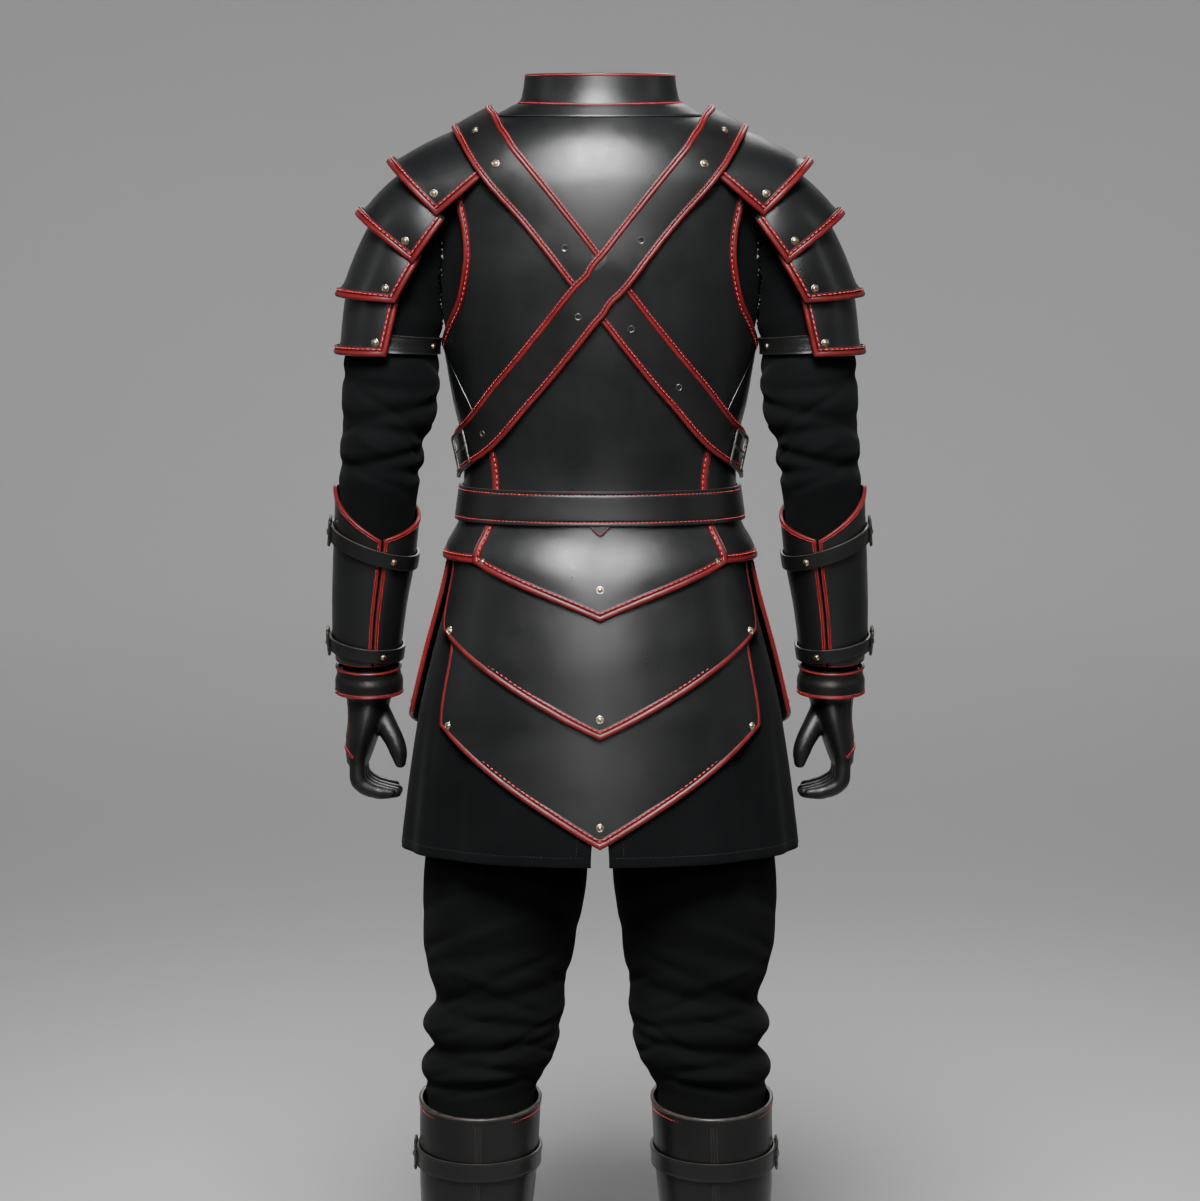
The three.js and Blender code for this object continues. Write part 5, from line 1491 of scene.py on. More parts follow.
@dataclass
class ArmGear:
    """The upper arm straps, forearm guards with their straps and buckles, and the glove cuffs."""

    strap: tuple[float, float] = (167.0, 188.0)
    strap_lift: float = 1.8
    strap_thickness: float = 2.2
    guard_foot: float = 548.0
    guard_thickness: float = 3.2
    flap: float = 102.0
    slit: float = 1.2
    guard_straps: tuple[tuple[str, float, float, float], ...] = (("upper", 412, 17, 18), ("lower", 533, 6, 17))

    def guard(self, side: Side) -> PointAt:
        """The surface of a forearm guard, from the closing flap round to it again."""
        gap = self.slit / 45

        def point(across: Array, along: Array, lift: Array) -> Array:
            """A place on the guard, from its foot to its top."""
            angle = self.flap * DEGREE + mix(gap, TURN - gap, across)
            top = GUARD_TOP.straight("s", np.mod(angle, TURN) / DEGREE)
            return arm_point(side, mix(self.guard_foot, top, along), angle, lift)

        return point

    def band(self, side: Side, s: float, tilt: float, width: float, inner: float, thickness: float) -> Shell:
        """A tilted strap round the arm."""
        def point(angle: Array, along: Array, lift: Array) -> Array:
            """A place round the strap."""
            crease = np.exp(-(((np.abs(2 * along - 1) - 0.72) / 0.1) ** 2))
            shape = np.where(lift > inner + 0.5, 0.3 - 0.35 * crease, 0)
            return arm_point(side, s - tilt * np.cos(angle) + width * (0.5 - along), angle, lift + shape)

        rows = np.concatenate([[0, 0.03], np.linspace(0.1, 0.9, 13), [0.97, 1]])
        return sheet(point, np.linspace(0, TURN, 73)[:-1], rows, inner, thickness, True, 1.0)

    def build(self) -> None:
        """Builds everything on both arms."""
        for side in Side:
            word = side.label
            middle = sum(self.strap) / 2
            shell = self.band(side, middle, 0, self.strap[1] - self.strap[0], self.strap_lift, self.strap_thickness)
            add_piece(f"arm_strap_leather_{word}", shell, Finish.STRAP, [f"arm_strap_{word}"])
            studs = EdgeWork(f"arm_strap_{word}")
            angle = np.array([150 * DEGREE, 35 * DEGREE])
            at = arm_point(side, middle + 0 * angle, angle, self.strap_lift + self.strap_thickness + 0.3)
            studs.stud(at, at - arm_point(side, middle + 0 * angle, angle, 0), 0.9)
            studs.make()
            self.build_guard(side)
            self.build_cuff(side)

    def build_guard(self, side: Side) -> None:
        """Builds one forearm guard with its straps."""
        word = side.label
        point, face = self.guard(side), LAYER_GAP + self.guard_thickness
        shell = sheet(point, near_ends(76), near_ends(32), LAYER_GAP, self.guard_thickness, rubbed=0.8)
        add_piece(f"forearm_guard_leather_{word}", shell, Finish.PLATE, [f"forearm_guard_{word}"])
        # The guard's edges take the shaded copy of the binding: painted shade.
        edges = EdgeWork(f"forearm_guard_{word}", scale=0.5, red=Finish.SHADED_BINDING)
        shares = [(d - self.flap) / 360 % 1 for d in (0, 140, 180, 270)]
        top = [(0.002, 1), *[(u, 1) for u in sorted(shares)], (0.998, 1)]
        edges.bind(Rail.along(point, [(0.002, 0.0), *top, (0.998, 0.0)], face, (0.5, 0.5), clear=5),
                   self.guard_thickness)
        edges.bind(Rail.along(point, [(0.02, 0), (0.5, 0), (0.98, 0)], face, (0.5, 0.5), clear=3),
                   self.guard_thickness, sewn=False)
        inner = 2 * LAYER_GAP + self.guard_thickness + 0.4
        for name, s, tilt, width in self.guard_straps:
            shell = self.band(side, s, tilt, width, inner, 2.6)
            add_piece(f"forearm_strap_{name}_leather_{word}", shell, Finish.STRAP, [f"forearm_strap_{name}_{word}"])
            angle = np.array([118 * DEGREE])
            at = arm_point(side, s - tilt * np.cos(angle), angle, inner + 2.9)
            edges.stud(at, at - arm_point(side, s - tilt * np.cos(angle), angle, 0), 0.85)
            zero = np.array([0.0, 0.0])
            ends = arm_point(side, np.array([s - tilt - 1, s - tilt + 1]), zero, 0)
            along = unit(ends[0] - ends[1])
            run = unit(np.cross(np.array([side.sign, 0, 0]), along))
            place = arm_point(side, np.array([s - tilt]), zero[:1], inner + 2.6 - 1.2)[0]
            buckle = Buckle(width).shell(place, run, -np.cross(run, along))
            add_piece(f"forearm_buckle_{name}_steel_{word}", buckle, Finish.STEEL, [f"forearm_buckle_{name}_{word}"])
        edges.make()

    def build_cuff(self, side: Side) -> None:
        """Builds one glove cuff with its bound edges."""
        def point(angle: Array, along: Array, lift: Array) -> Array:
            """A place round the cuff, from its top to its foot."""
            s = mix(556, 588, along)
            return arm_point(side, s, angle, lift + mix(3.8, 7.5, smooth(562, 574, s)))

        angles = np.linspace(0, TURN, 73)[:-1]
        shell = sheet(point, angles, near_ends(12, end=0.03), 0, 2.6, True, 0.8)
        add_piece(f"glove_cuff_leather_{side.label}", shell, Finish.GLOVE, [f"glove_cuff_{side.label}"])
        # The cuff's edges take the shaded copy of the binding: painted shade.
        edges = EdgeWork(f"glove_cuff_{side.label}", scale=0.5, red=Finish.SHADED_BINDING)
        for along in (0.0, 1.0):
            loop = [(0, along), (math.pi, along), (TURN, along)]
            edges.bind(Rail.along(point, loop, 2.6, (1.0, 0.5), clear=0.5, closed=True), 2.6, sewn=along > 0)
        edges.make()


@dataclass(frozen=True)
class Crease:
    """A slanting fold pressed into a tube of cloth."""

    place: float
    depth: float
    spread: float
    slant: float
    turn: float

    def at(self, place: Array, angle: Array, even: float) -> Array:
        """How deep the fold is at places along and angles round the tube."""
        centre = self.place + self.slant * np.sin(angle - self.turn * DEGREE)
        strength = even + (1 - even) * np.cos(angle - self.turn * DEGREE)
        return self.depth * np.maximum(strength, 0) * np.exp(-(((place - centre) / self.spread) ** 2))


def creases(rows: Sequence[tuple[float, float, float, float, float]]) -> list[Crease]:
    """Creases from rows of place, depth, spread, slant and turn."""
    return [Crease(*row) for row in rows]


@dataclass(frozen=True)
class Fold:
    """A short soft trough in a tube of cloth, or a ridge where its depth is below zero."""

    place: float
    turn: float
    depth: float
    width: float
    reach: float
    slope: float

    def at(self, place: Array, angle: Array) -> Array:
        """How deep the fold is at places along and angles round the tube."""
        aside = np.mod(angle / DEGREE - self.turn + 180, 360) - 180
        centre = self.place + self.slope * aside
        return self.depth * np.exp(-(((place - centre) / self.width) ** 2) - (aside / self.reach) ** 2)


def folds(rows: Sequence[tuple[float, float, float, float, float, float]]) -> list[Fold]:
    """Folds from rows of place, turn, depth, width, reach and slope."""
    return [Fold(*row) for row in rows]


def open_sheet(name: str, points: Array, faces: Array, thickness: float, finish: Finish, nodes: Sequence[str],
               out: Callable[[Array], Array]) -> bpy.types.Object:
    """Makes a sheet with open edges from its outer face, thickened inwards.

    Args:
        name: The piece's name.
        points: The outer face's points.
        faces: Its faces.
        thickness: The cloth's thickness.
        finish: Its finish.
        nodes: The solids that it stands for.
        out: The way out at points of the sheet.

    Returns:
        The piece.
    """
    centre = points[faces].mean(axis=1)
    facing = np.cross(points[faces[:, 1]] - points[faces[:, 0]], points[faces[:, 2]] - points[faces[:, 0]])
    if np.sum(facing * out(centre)) < 0:
        faces = faces[:, ::-1]
    used, compact = np.unique(faces, return_inverse=True)
    mesh = bpy.data.meshes.new(name)
    real = (points[used] - np.array([0, 0, HELD_HEIGHT])) / 1000
    mesh.from_pydata(real.tolist(), [], compact.reshape(faces.shape).tolist())
    mesh.update()
    raw = bpy.data.objects.new(name, mesh)
    bpy.context.scene.collection.objects.link(raw)
    solid = raw.modifiers.new("thickness", "SOLIDIFY")
    solid.thickness, solid.offset, solid.use_even_offset = thickness / 1000, -1, True
    return place_piece(baked(raw), finish, nodes)


def baked(raw: bpy.types.Object) -> bpy.types.Object:
    """The object with its modifiers' result as its own mesh."""
    graph = bpy.context.evaluated_depsgraph_get()
    mesh = bpy.data.meshes.new_from_object(raw.evaluated_get(graph))
    name = raw.name
    bpy.data.objects.remove(raw)
    made = bpy.data.objects.new(name, mesh)
    bpy.context.scene.collection.objects.link(made)
    return made


@dataclass
class Tunic:
    """The cloth tunic: a bodice, two sleeves set into it and a skirt open up the middle of its back."""

    inset: float = 2.3
    hem: float = 683.0
    vent_top: float = 800.0
    vent_half_gap: float = 10.0
    tuck: float = 1.7
    sleeve_folds: list[Crease] = field(default_factory=lambda: creases([
        (222, 3, 8, 9, 40), (252, 5, 9, -12, 120), (283, 6, 8, 10, 150), (306, 6, 7, -9, 100), (325, 5, 7, 8, 170),
    ]))
    small_folds: list[Fold] = field(default_factory=lambda: folds([
        (70, 120, 2.2, 8, 34, 0.30), (96, 160, 1.8, 7, 40, -0.25), (128, 100, 2.0, 9, 38, 0.42),
        (118, 215, 2.2, 8, 36, -0.35), (150, 150, -1.4, 8, 44, 0.30), (158, 60, 1.8, 7, 34, 0.36),
        (196, 95, 1.7, 6, 42, -0.34), (208, 170, 2.4, 6, 36, 0.40), (236, 60, 2.2, 6, 34, 0.46),
        (238, 150, -2.0, 6, 30, -0.30), (262, 110, 2.6, 5, 30, 0.52), (268, 190, 2.6, 5, 34, -0.42),
        (276, 30, 1.8, 5, 30, -0.30), (292, 80, -2.0, 5, 28, 0.36), (296, 140, 2.4, 4.5, 26, 0.60),
        (314, 170, 2.2, 4.5, 30, -0.46), (318, 60, 2.2, 4.5, 34, 0.30), (336, 120, 1.8, 5, 36, 0.36),
        (356, 150, 1.4, 6, 34, -0.40), (300, 260, 2.4, 6, 44, 0.24), (262, 290, 2.0, 6, 40, -0.32),
        (226, 250, 1.8, 7, 44, 0.30), (180, 300, 1.6, 8, 44, -0.24), (140, 330, 1.5, 8, 40, 0.28),
    ]))
    flutes: tuple[tuple[float, float, float], ...] = (
        (47, 9, 6), (72, 5, 6), (108, 7, 7), (138, 8, 6), (160, 4, 6), (24, 1.6, 4), (60, 2.2, 4), (90, 2.0, 4))

    def sleeve(self, side: Side) -> PointAt:
        """The surface of a sleeve's outer face."""

        def point(angle: Array, s: Array, lift: Array) -> Array:
            """A place on the sleeve."""
            pressed = sum(f.at(s, angle, 0.65 if f.depth >= 3 else 0.4) for f in self.sleeve_folds)
            pressed = pressed + sum(f.at(s, angle) for f in self.small_folds)
            return arm_point(side, s, angle, lift - self.tuck * smooth(306, 330, s) - pressed * smooth(4, 60, s))

        return point

    def flute(self, angle: Array, height: Array) -> Array:
        """How deep the skirt's upright folds are."""
        degrees = np.abs(angle) / DEGREE
        fall = smooth(960, self.hem, height)
        sway = 3.0 * np.sin(height / 60)
        return sum(d * fall * np.exp(-(((degrees - a - sway * (d < 3)) / w) ** 2)) for a, d, w in self.flutes)

    def skirt(self, side: Side) -> PointAt:
        """The surface of half the skirt, from the vent round to the front seam."""

        def point(across: Array, along: Array, lift: Array) -> Array:
            """A place on the skirt, from its hem to the waist."""
            height = mix(self.hem, 1059.6, along)
            vent = self.vent_half_gap * smooth(self.vent_top, self.hem, height) + SEAM / 2
            angle = mix(Figure.angle_at(vent, height), math.pi - Figure.angle_at(SEAM / 2 + 0 * height, height), across)
            tucked = 1.2 * smooth(1000, 1040, height)
            hem = 0.5 * np.exp(-(((height - self.hem - 11) / 1.2) ** 2))
            return Figure.at(side.sign * angle, height, lift - tucked - self.flute(angle, height) - hem)

        return point

    def build(self) -> None:
        """Builds the tunic's pieces."""
        self.build_bodice()
        for side in Side:
            self.build_sleeve(side)
            point = self.skirt(side)
            rows = np.concatenate([[0, 0.003], np.linspace(0.012, 0.06, 8), np.linspace(0.08, 0.99, 38), [1]])
            shell = sheet(point, near_ends(124, end=0.002), rows, 0, CLOTH)
            piece = add_piece(f"tunic_skirt_cloth_{side.label}", shell, Finish.TUNIC, [f"tunic_skirt_{side.label}"])
            seams = []
            for row in (0.029,):
                u = np.linspace(0.01, 0.99, 160)
                line = point(u, row + 0 * u, CLOTH + 0.15 + 0 * u)
                out = unit(point(u, row + 0 * u, CLOTH + 1.15 + 0 * u) - line)
                seams.append(thread_run(line, out, 4.2, 3.0, 0.32))
            v = np.linspace(0.03, 0.3, 60)
            line = point(0.022 + 0 * v, v, CLOTH + 0.2 + 0 * v)
            out = unit(point(0.022 + 0 * v, v, CLOTH + 1.2 + 0 * v) - line)
            seams.append(thread_run(line, out, 4.2, 3.0, 0.32))
            stitches = add_piece(f"tunic_hem_stitches_{side.label}", joined(seams), Finish.DARK_THREAD)

    def build_bodice(self) -> None:
        """Builds the bodice as a tube with its armholes open."""
        angles = np.linspace(0, TURN, 113)[:-1]
        heights = np.linspace(1060, NECK_HEIGHT, 74)
        u, v = np.meshgrid(angles, heights, indexing="ij")
        grid = Figure.at(u, v, CLOTH - self.inset + 0 * u)
        index = np.arange(u.size).reshape(u.shape)
        faces = quads(np.concatenate([index, index[:1]], axis=0))
        points = grid.reshape(-1, 3)
        centre = points[faces].mean(axis=1)
        cut = np.zeros(len(faces), bool)
        for side in Side:
            for s in np.linspace(-30, 125, 80):
                roll = float(ARM_TABLE.at("roll", s)) * DEGREE
                middle = np.array([side.sign * ARM_TABLE.at("x", s), ARM_TABLE.at("y", s), ARM_TABLE.at("z", s)])
                out = np.array([side.sign * math.cos(roll), 0, math.sin(roll)])
                normal = np.cross(out, np.array([0, -1.0, 0]))
                local = centre - middle
                a = local @ out / (float(ARM_TABLE.at("wide", s)) - 5)
                b = local[:, 1] / (float(ARM_TABLE.at("deep", s)) - 5)
                cut |= (np.abs(local @ normal) < 4) & (a * a + b * b < 1)
        nodes = ["tunic_bodice", "tunic_yoke_left", "tunic_yoke_right"]
        piece = open_sheet("tunic_bodice_cloth", points, faces[~cut], CLOTH, Finish.TUNIC, nodes,
                           lambda p: p * np.array([1, 1, 0]))

    def build_sleeve(self, side: Side) -> None:
        """Builds one sleeve, trimmed where it enters the bodice."""
        angles = np.linspace(0, TURN, 81)[:-1]
        places = np.concatenate([np.linspace(4, 180, 28), np.linspace(183, 345, 66), np.linspace(355, 556, 16)])
        u, v = np.meshgrid(angles, places, indexing="ij")
        points = self.sleeve(side)(u, v, 0 * u).reshape(-1, 3)
        index = np.arange(u.size).reshape(u.shape)
        faces = quads(np.concatenate([index, index[:1]], axis=0))
        inside = Figure.holds(points, CLOTH - self.inset + 0.5)
        faces = faces[~inside[faces].any(axis=1)]
        axis = np.stack([side.sign * ARM_TABLE.at("x", places), ARM_TABLE.at("y", places),
                         ARM_TABLE.at("z", places)], axis=1)

        def out(p: Array) -> Array:
            """The way out from the arm's middle line."""
            near = np.argmin(((p[:, None] - axis[None]) ** 2).sum(axis=2), axis=1)
            return p - axis[near]

        piece = open_sheet(f"tunic_sleeve_cloth_{side.label}", points, faces, CLOTH, Finish.TUNIC,
                           [f"tunic_{part}_{side.label}" for part in ("sleeve", "elbow", "foresleeve")], out)


SEAT_TABLE = Table(
    "height side back front",
    [(1046, 154.6, 107.6, 104.2), (990, 160, 108, 104), (930, 172, 116, 110), (870, 180, 118, 110),
     (800, 183, 112, 104)],
)


@dataclass
class Trousers:
    """The cloth trousers, in a left and a right half joined along the middle."""

    waist: float = 1046.0
    crotch: float = 800.0
    foot: float = 352.0
    folds: list[Crease] = field(default_factory=lambda: creases([
        (560, 3, 11, 20, 60), (520, 4, 10, 14, 110), (488, 6, 8, -9, 80), (462, 5, 7, 10, 130), (438, 6, 7, -9, 60),
        (414, 5, 6, 7, 100),
    ]))
    small_folds: list[Fold] = field(default_factory=lambda: folds([
        (690, 60, 2.4, 14, 34, 0.9), (664, 120, 2.6, 12, 36, -0.8), (636, 50, 3.0, 10, 40, 0.7),
        (612, 140, 3.4, 9, 38, -0.6), (596, 80, -2.6, 9, 34, 0.5), (578, 40, 3.0, 8, 36, 0.6),
        (556, 120, 3.4, 7, 34, 0.5), (540, 70, -2.6, 7, 30, -0.4), (534, 150, 3.0, 6, 34, -0.5),
        (514, 50, 3.4, 6, 34, 0.5), (506, 110, 3.0, 5, 26, -0.5), (494, 160, -2.4, 6, 34, 0.3),
        (478, 60, 3.2, 5, 32, 0.45), (470, 120, 3.0, 5, 26, 0.6), (456, 30, 2.6, 5, 34, -0.3),
        (450, 150, 3.2, 5, 30, -0.4), (440, 90, -2.0, 5, 26, 0.3), (430, 60, 3.0, 4.5, 32, 0.4),
        (422, 130, 2.8, 4.5, 30, -0.4), (406, 80, 2.6, 4.5, 40, 0.3), (600, 250, 3.0, 10, 46, 0.6),
        (556, 300, 3.0, 8, 44, -0.5), (520, 230, 3.2, 7, 44, 0.4), (484, 290, 3.0, 6, 44, -0.4),
        (452, 240, 3.0, 5, 44, 0.4), (424, 300, 2.6, 5, 44, -0.3), (650, 320, 2.4, 12, 44, 0.7),
        (740, 90, 1.8, 14, 40, 0.8), (716, 200, 2.0, 14, 40, -0.8),
    ]))

    def point(self, side: Side) -> PointAt:
        """The surface of one half, a leg that opens into half the seat."""

        def place(angle: Array, height: Array, lift: Array) -> Array:
            """A place on the cloth; the angle runs round the leg from its outside over the back."""
            pressed = sum(f.at(height, angle, 0.6 if f.depth >= 3 else 0.35) for f in self.folds)
            pressed = pressed + sum(f.at(height, angle) for f in self.small_folds) * smooth(388, 404, height)
            low = np.minimum(height, 835)
            wide, deep = (LEG_TABLE.at(k, low) + lift - pressed for k in ("wide", "deep"))
            leg = stack(LEG_TABLE.at("x", low) + wide * np.cos(angle), LEG_TABLE.at("y", low) - deep * np.sin(angle),
                        height)
            high = np.maximum(height, self.crotch)
            seat_side = SEAT_TABLE.at("side", high) + lift
            depth = np.where(np.sin(angle) > 0, SEAT_TABLE.at("back", high), SEAT_TABLE.at("front", high)) + lift
            centre = seat_side / 2
            cos, sin = np.cos(angle), np.sin(angle)
            a = (cos / seat_side) ** 2 + (sin / depth) ** 2
            b = 2 * centre * cos / seat_side**2
            c = (centre / seat_side) ** 2 - 1
            reach = (-b + np.sqrt(b * b - 4 * a * c)) / (2 * a)
            to_middle = (centre - SEAM / 2) / np.maximum(-cos, 1e-6)
            reach = np.where(cos < 0, np.minimum(reach, to_middle), reach)
            seat = stack(centre + reach * cos, -reach * sin, height)
            share = smooth(740, 835, height)[..., None]
            p = leg + (seat - leg) * share
            p[..., 0] = np.maximum(p[..., 0], SEAM / 2)
            p[..., 0] = side.sign * p[..., 0] + foot_shift(side, height)
            return p

        return place

    def build(self) -> None:
        """Builds both halves."""
        for side in Side:
            angles = np.linspace(0, TURN, 105)[:-1]
            heights = np.concatenate([np.linspace(self.foot, 640, 92), np.linspace(650, self.waist, 22)])
            u, v = np.meshgrid(angles, heights, indexing="ij")
            points = self.point(side)(u, v, 0 * u).reshape(-1, 3)
            index = np.arange(u.size).reshape(u.shape)
            faces = quads(np.concatenate([index, index[:1]], axis=0))
            reach = np.abs(points[:, 0] - (foot_shift(side, points[:, 2])))
            middle = (reach < SEAM) & (points[:, 2] > self.crotch)
            faces = faces[~middle[faces].all(axis=1)]

            def out(p: Array) -> Array:
                """The way out from the leg's middle line."""
                axis = side.sign * LEG_TABLE.at("x", np.minimum(p[:, 2], 830))
                return np.stack([p[:, 0] - axis, p[:, 1], 0 * axis], axis=1)

            piece = open_sheet(f"trousers_cloth_{side.label}", points, faces, CLOTH, Finish.TROUSERS,
                               [f"trousers_{side.label}"], out)


def ring_loft(rings: Array) -> Shell:
    """A closed skin through rings of points."""
    count, corners = rings.shape[:2]
    index = np.arange(count * corners).reshape(count, corners)
    faces = [tuple(f) for f in quads(np.concatenate([index, index[:, :1]], axis=1)).tolist()]
    faces += [tuple(index[0].tolist()), tuple(index[-1].tolist()[::-1])]
    return turned_out(Shell(rings.reshape(-1, 3), faces))


def moulded(name: str, parts: Sequence[Shell], voxel: float, passes: int, cut: tuple[Array, Array],
            thickness: float) -> bpy.types.Object:
    """Joins overlapping solids into one soft skin, opens it at a plane and gives it a wall.

    Args:
        name: The object's name.
        parts: The solids.
        voxel: The skin's fineness.
        passes: How often it is smoothed.
        cut: A point of the plane and the way out of it.
        thickness: The wall's thickness.

    Returns:
        The object.
    """
    whole = joined(parts)
    mesh = bpy.data.meshes.new(name)
    mesh.from_pydata(((whole.points - np.array([0, 0, HELD_HEIGHT])) / 1000).tolist(), [], whole.faces)
    raw = bpy.data.objects.new(name, mesh)
    bpy.context.scene.collection.objects.link(raw)
    remesh = raw.modifiers.new("skin", "REMESH")
    remesh.mode, remesh.voxel_size = "VOXEL", voxel / 1000
    soften = raw.modifiers.new("soften", "SMOOTH")
    soften.factor, soften.iterations = 0.5, passes
    made = baked(raw)
    skin = bmesh.new()
    skin.from_mesh(made.data)
    place = (cut[0] - np.array([0, 0, HELD_HEIGHT])) / 1000
    everything = list(skin.verts) + list(skin.edges) + list(skin.faces)
    bmesh.ops.bisect_plane(skin, geom=everything, plane_co=place, plane_no=cut[1], clear_outer=True)
    skin.to_mesh(made.data)
    skin.free()
    solid = made.modifiers.new("thickness", "SOLIDIFY")
    solid.thickness, solid.offset = thickness / 1000, -1
    return baked(made)


@dataclass
class Glove:
    """A leather glove with curled fingers, its knuckle binding and the seams along the fingers."""

    wall: float = 1.8
    fineness: float = 2.3
    smoothings: int = 3
    top: float = 884.0
    palm: Table = Table("height x y wide deep", [
        (900, 268, 29.2, 33, 36.2), (884, 268, 29.2, 33, 36.2), (867, 268, 31.6, 32, 36.4), (848, 268, 36, 26, 33),
        (822, 272, 40, 21, 40), (792, 279, 43, 17.5, 43), (772, 282, 44, 13, 41),
    ])
    fingers: tuple[tuple[float, float, float], ...] = (
        (12, 0.9, 9.5), (33, 1, 10.5), (54.5, 1.02, 10.5), (75.5, 0.92, 10),
    )
    finger_line: Table = Table("t x z size", [
        (0, 280, 790, 0.95), (1, 281, 768, 1.0), (2, 279, 753, 1.03), (3, 268, 744, 0.98), (4, 252, 739, 0.88),
        (5, 237, 738, 0.62),
    ])
    thumb_line: Table = Table("t x y z radius", [
        (0, 262, 34, 846, 13), (1, 249, 24, 820, 13), (2, 238, 16.5, 801, 11.5), (3, 233, 13.5, 787, 10.2),
        (4, 231.3, 12, 776, 7),
    ])

    def finger(self, side: Side, y: float, length: float, radius: float) -> Shell:
        """One curled finger."""
        t = np.linspace(0, 5, 26)
        x = mix(281.0, self.finger_line.at("x", t), length)
        z = mix(760.0, self.finger_line.at("z", t), length)
        size = self.finger_line.at("size", t) * (1 - 0.05 * np.exp(-(((t - 2.4) / 0.16) ** 2)))
        size = size * (1 - 0.05 * np.exp(-(((t - 3.6) / 0.16) ** 2)))
        return self.tube(side, stack(x, y + 0 * x, z), radius * size)

    def tube(self, side: Side, line: Array, radius: Array) -> Shell:
        """A round tube along a line, ending in a dome."""
        run = unit(np.gradient(line, axis=0))
        tips = [(0.35, 0.93), (0.65, 0.75), (0.9, 0.4)]
        line = np.concatenate([line, [line[-1] + run[-1] * radius[-1] * a for a, _ in tips]])
        radius = np.concatenate([radius, [radius[-1] * b for _, b in tips]])
        run = np.concatenate([run, np.repeat(run[-1:], 3, axis=0)])
        first = unit(np.array([0, 1.0, 0]) - run * run[:, 1:2])
        second = np.cross(run, first)
        angle = np.arange(18) * TURN / 18
        rings = line[:, None] + first[:, None] * (radius[:, None] * np.cos(angle))[..., None]
        rings = rings + second[:, None] * (radius[:, None] * np.sin(angle))[..., None]
        return ring_loft(rings * np.array([side.sign, 1, 1]))

    def build(self) -> None:
        """Builds both gloves."""
        for side in Side:
            heights = np.linspace(772, 899, 30)
            angle = np.arange(40) * TURN / 40
            x, y, wide, deep = (self.palm.at(k, heights)[:, None] for k in ("x", "y", "wide", "deep"))
            wrinkle = 1 - 0.035 * np.exp(-(((heights - 846) / 3.5) ** 2)) - 0.03 * np.exp(-(((heights - 857) / 3) ** 2))
            wrinkle = wrinkle[:, None]
            rings = stack(x + wide * wrinkle * np.cos(angle), y + deep * wrinkle * np.sin(angle), heights[:, None])
            t = np.linspace(0, 4, 16)
            thumb = self.tube(side, stack(*(self.thumb_line.at(k, t) for k in "xyz")), self.thumb_line.at("radius", t))
            parts = [ring_loft(rings * np.array([side.sign, 1, 1])), thumb]
            parts += [self.finger(side, *finger) for finger in self.fingers]
            cut = (np.array([0, 0, self.top]), np.array([0, 0, 1.0]))
            glove = moulded(f"glove_leather_{side.label}", parts, self.fineness, self.smoothings, cut,
                            self.wall)
            place_piece(glove, Finish.GLOVE, [f"glove_{side.label}"], 60)
            self.trim(side)

    def trim(self, side: Side) -> None:
        """The red binding over the knuckles and the seam down the back of the hand."""
        def point(across: Array, along: Array, lift: Array) -> Array:
            """A place on the outside of the hand."""
            angle = mix(-1.35, 1.35, across)
            height = along
            x = self.palm.at("x", height) + (self.palm.at("wide", height) + lift) * np.cos(angle)
            y = self.palm.at("y", height) + (self.palm.at("deep", height) + lift) * np.sin(angle)
            return stack(side.sign * x, y, height)

        # The knuckle binding takes the shaded copy of the binding: painted shade.
        edges = EdgeWork(f"glove_{side.label}", scale=0.55, red=Finish.SHADED_BINDING)
        u = np.linspace(0.03, 0.97, 40)
        height = 786 + 6 * np.cos((u - 0.5) * 5)
        line = point(u, height, 0.2 + 0 * u)
        out = unit(point(u, height, 1.2 + 0 * u) - line)
        rail = Rail.through(line, out, np.array([side.sign * 279, 43, 840.0]))
        edges.rolls.append(rail.sweep([(-1.6, -0.4), (-1.4, 0.5), (0, 1.1), (1.4, 0.5), (1.6, -0.4)]))
        edges.threads.append(thread_run(rail.offset(2.6, 0.4), out, 3.4, 2.4, 0.34))
        for at in (0.3, 0.5, 0.7):
            v = np.linspace(800, 862, 24)
            line = point(at + 0 * v, v, 0.0 + 0 * v)
            out = unit(point(at + 0 * v, v, 1 + 0 * v) - line)
            seam = Rail.through(line, out, line.mean(axis=0) + np.array([0, 40.0, 0]))
            edges.flanges.append(seam.sweep([(-0.9, -0.3), (-0.6, 0.45), (0, 0.7), (0.6, 0.45), (0.9, -0.3)]))
        edges.make()


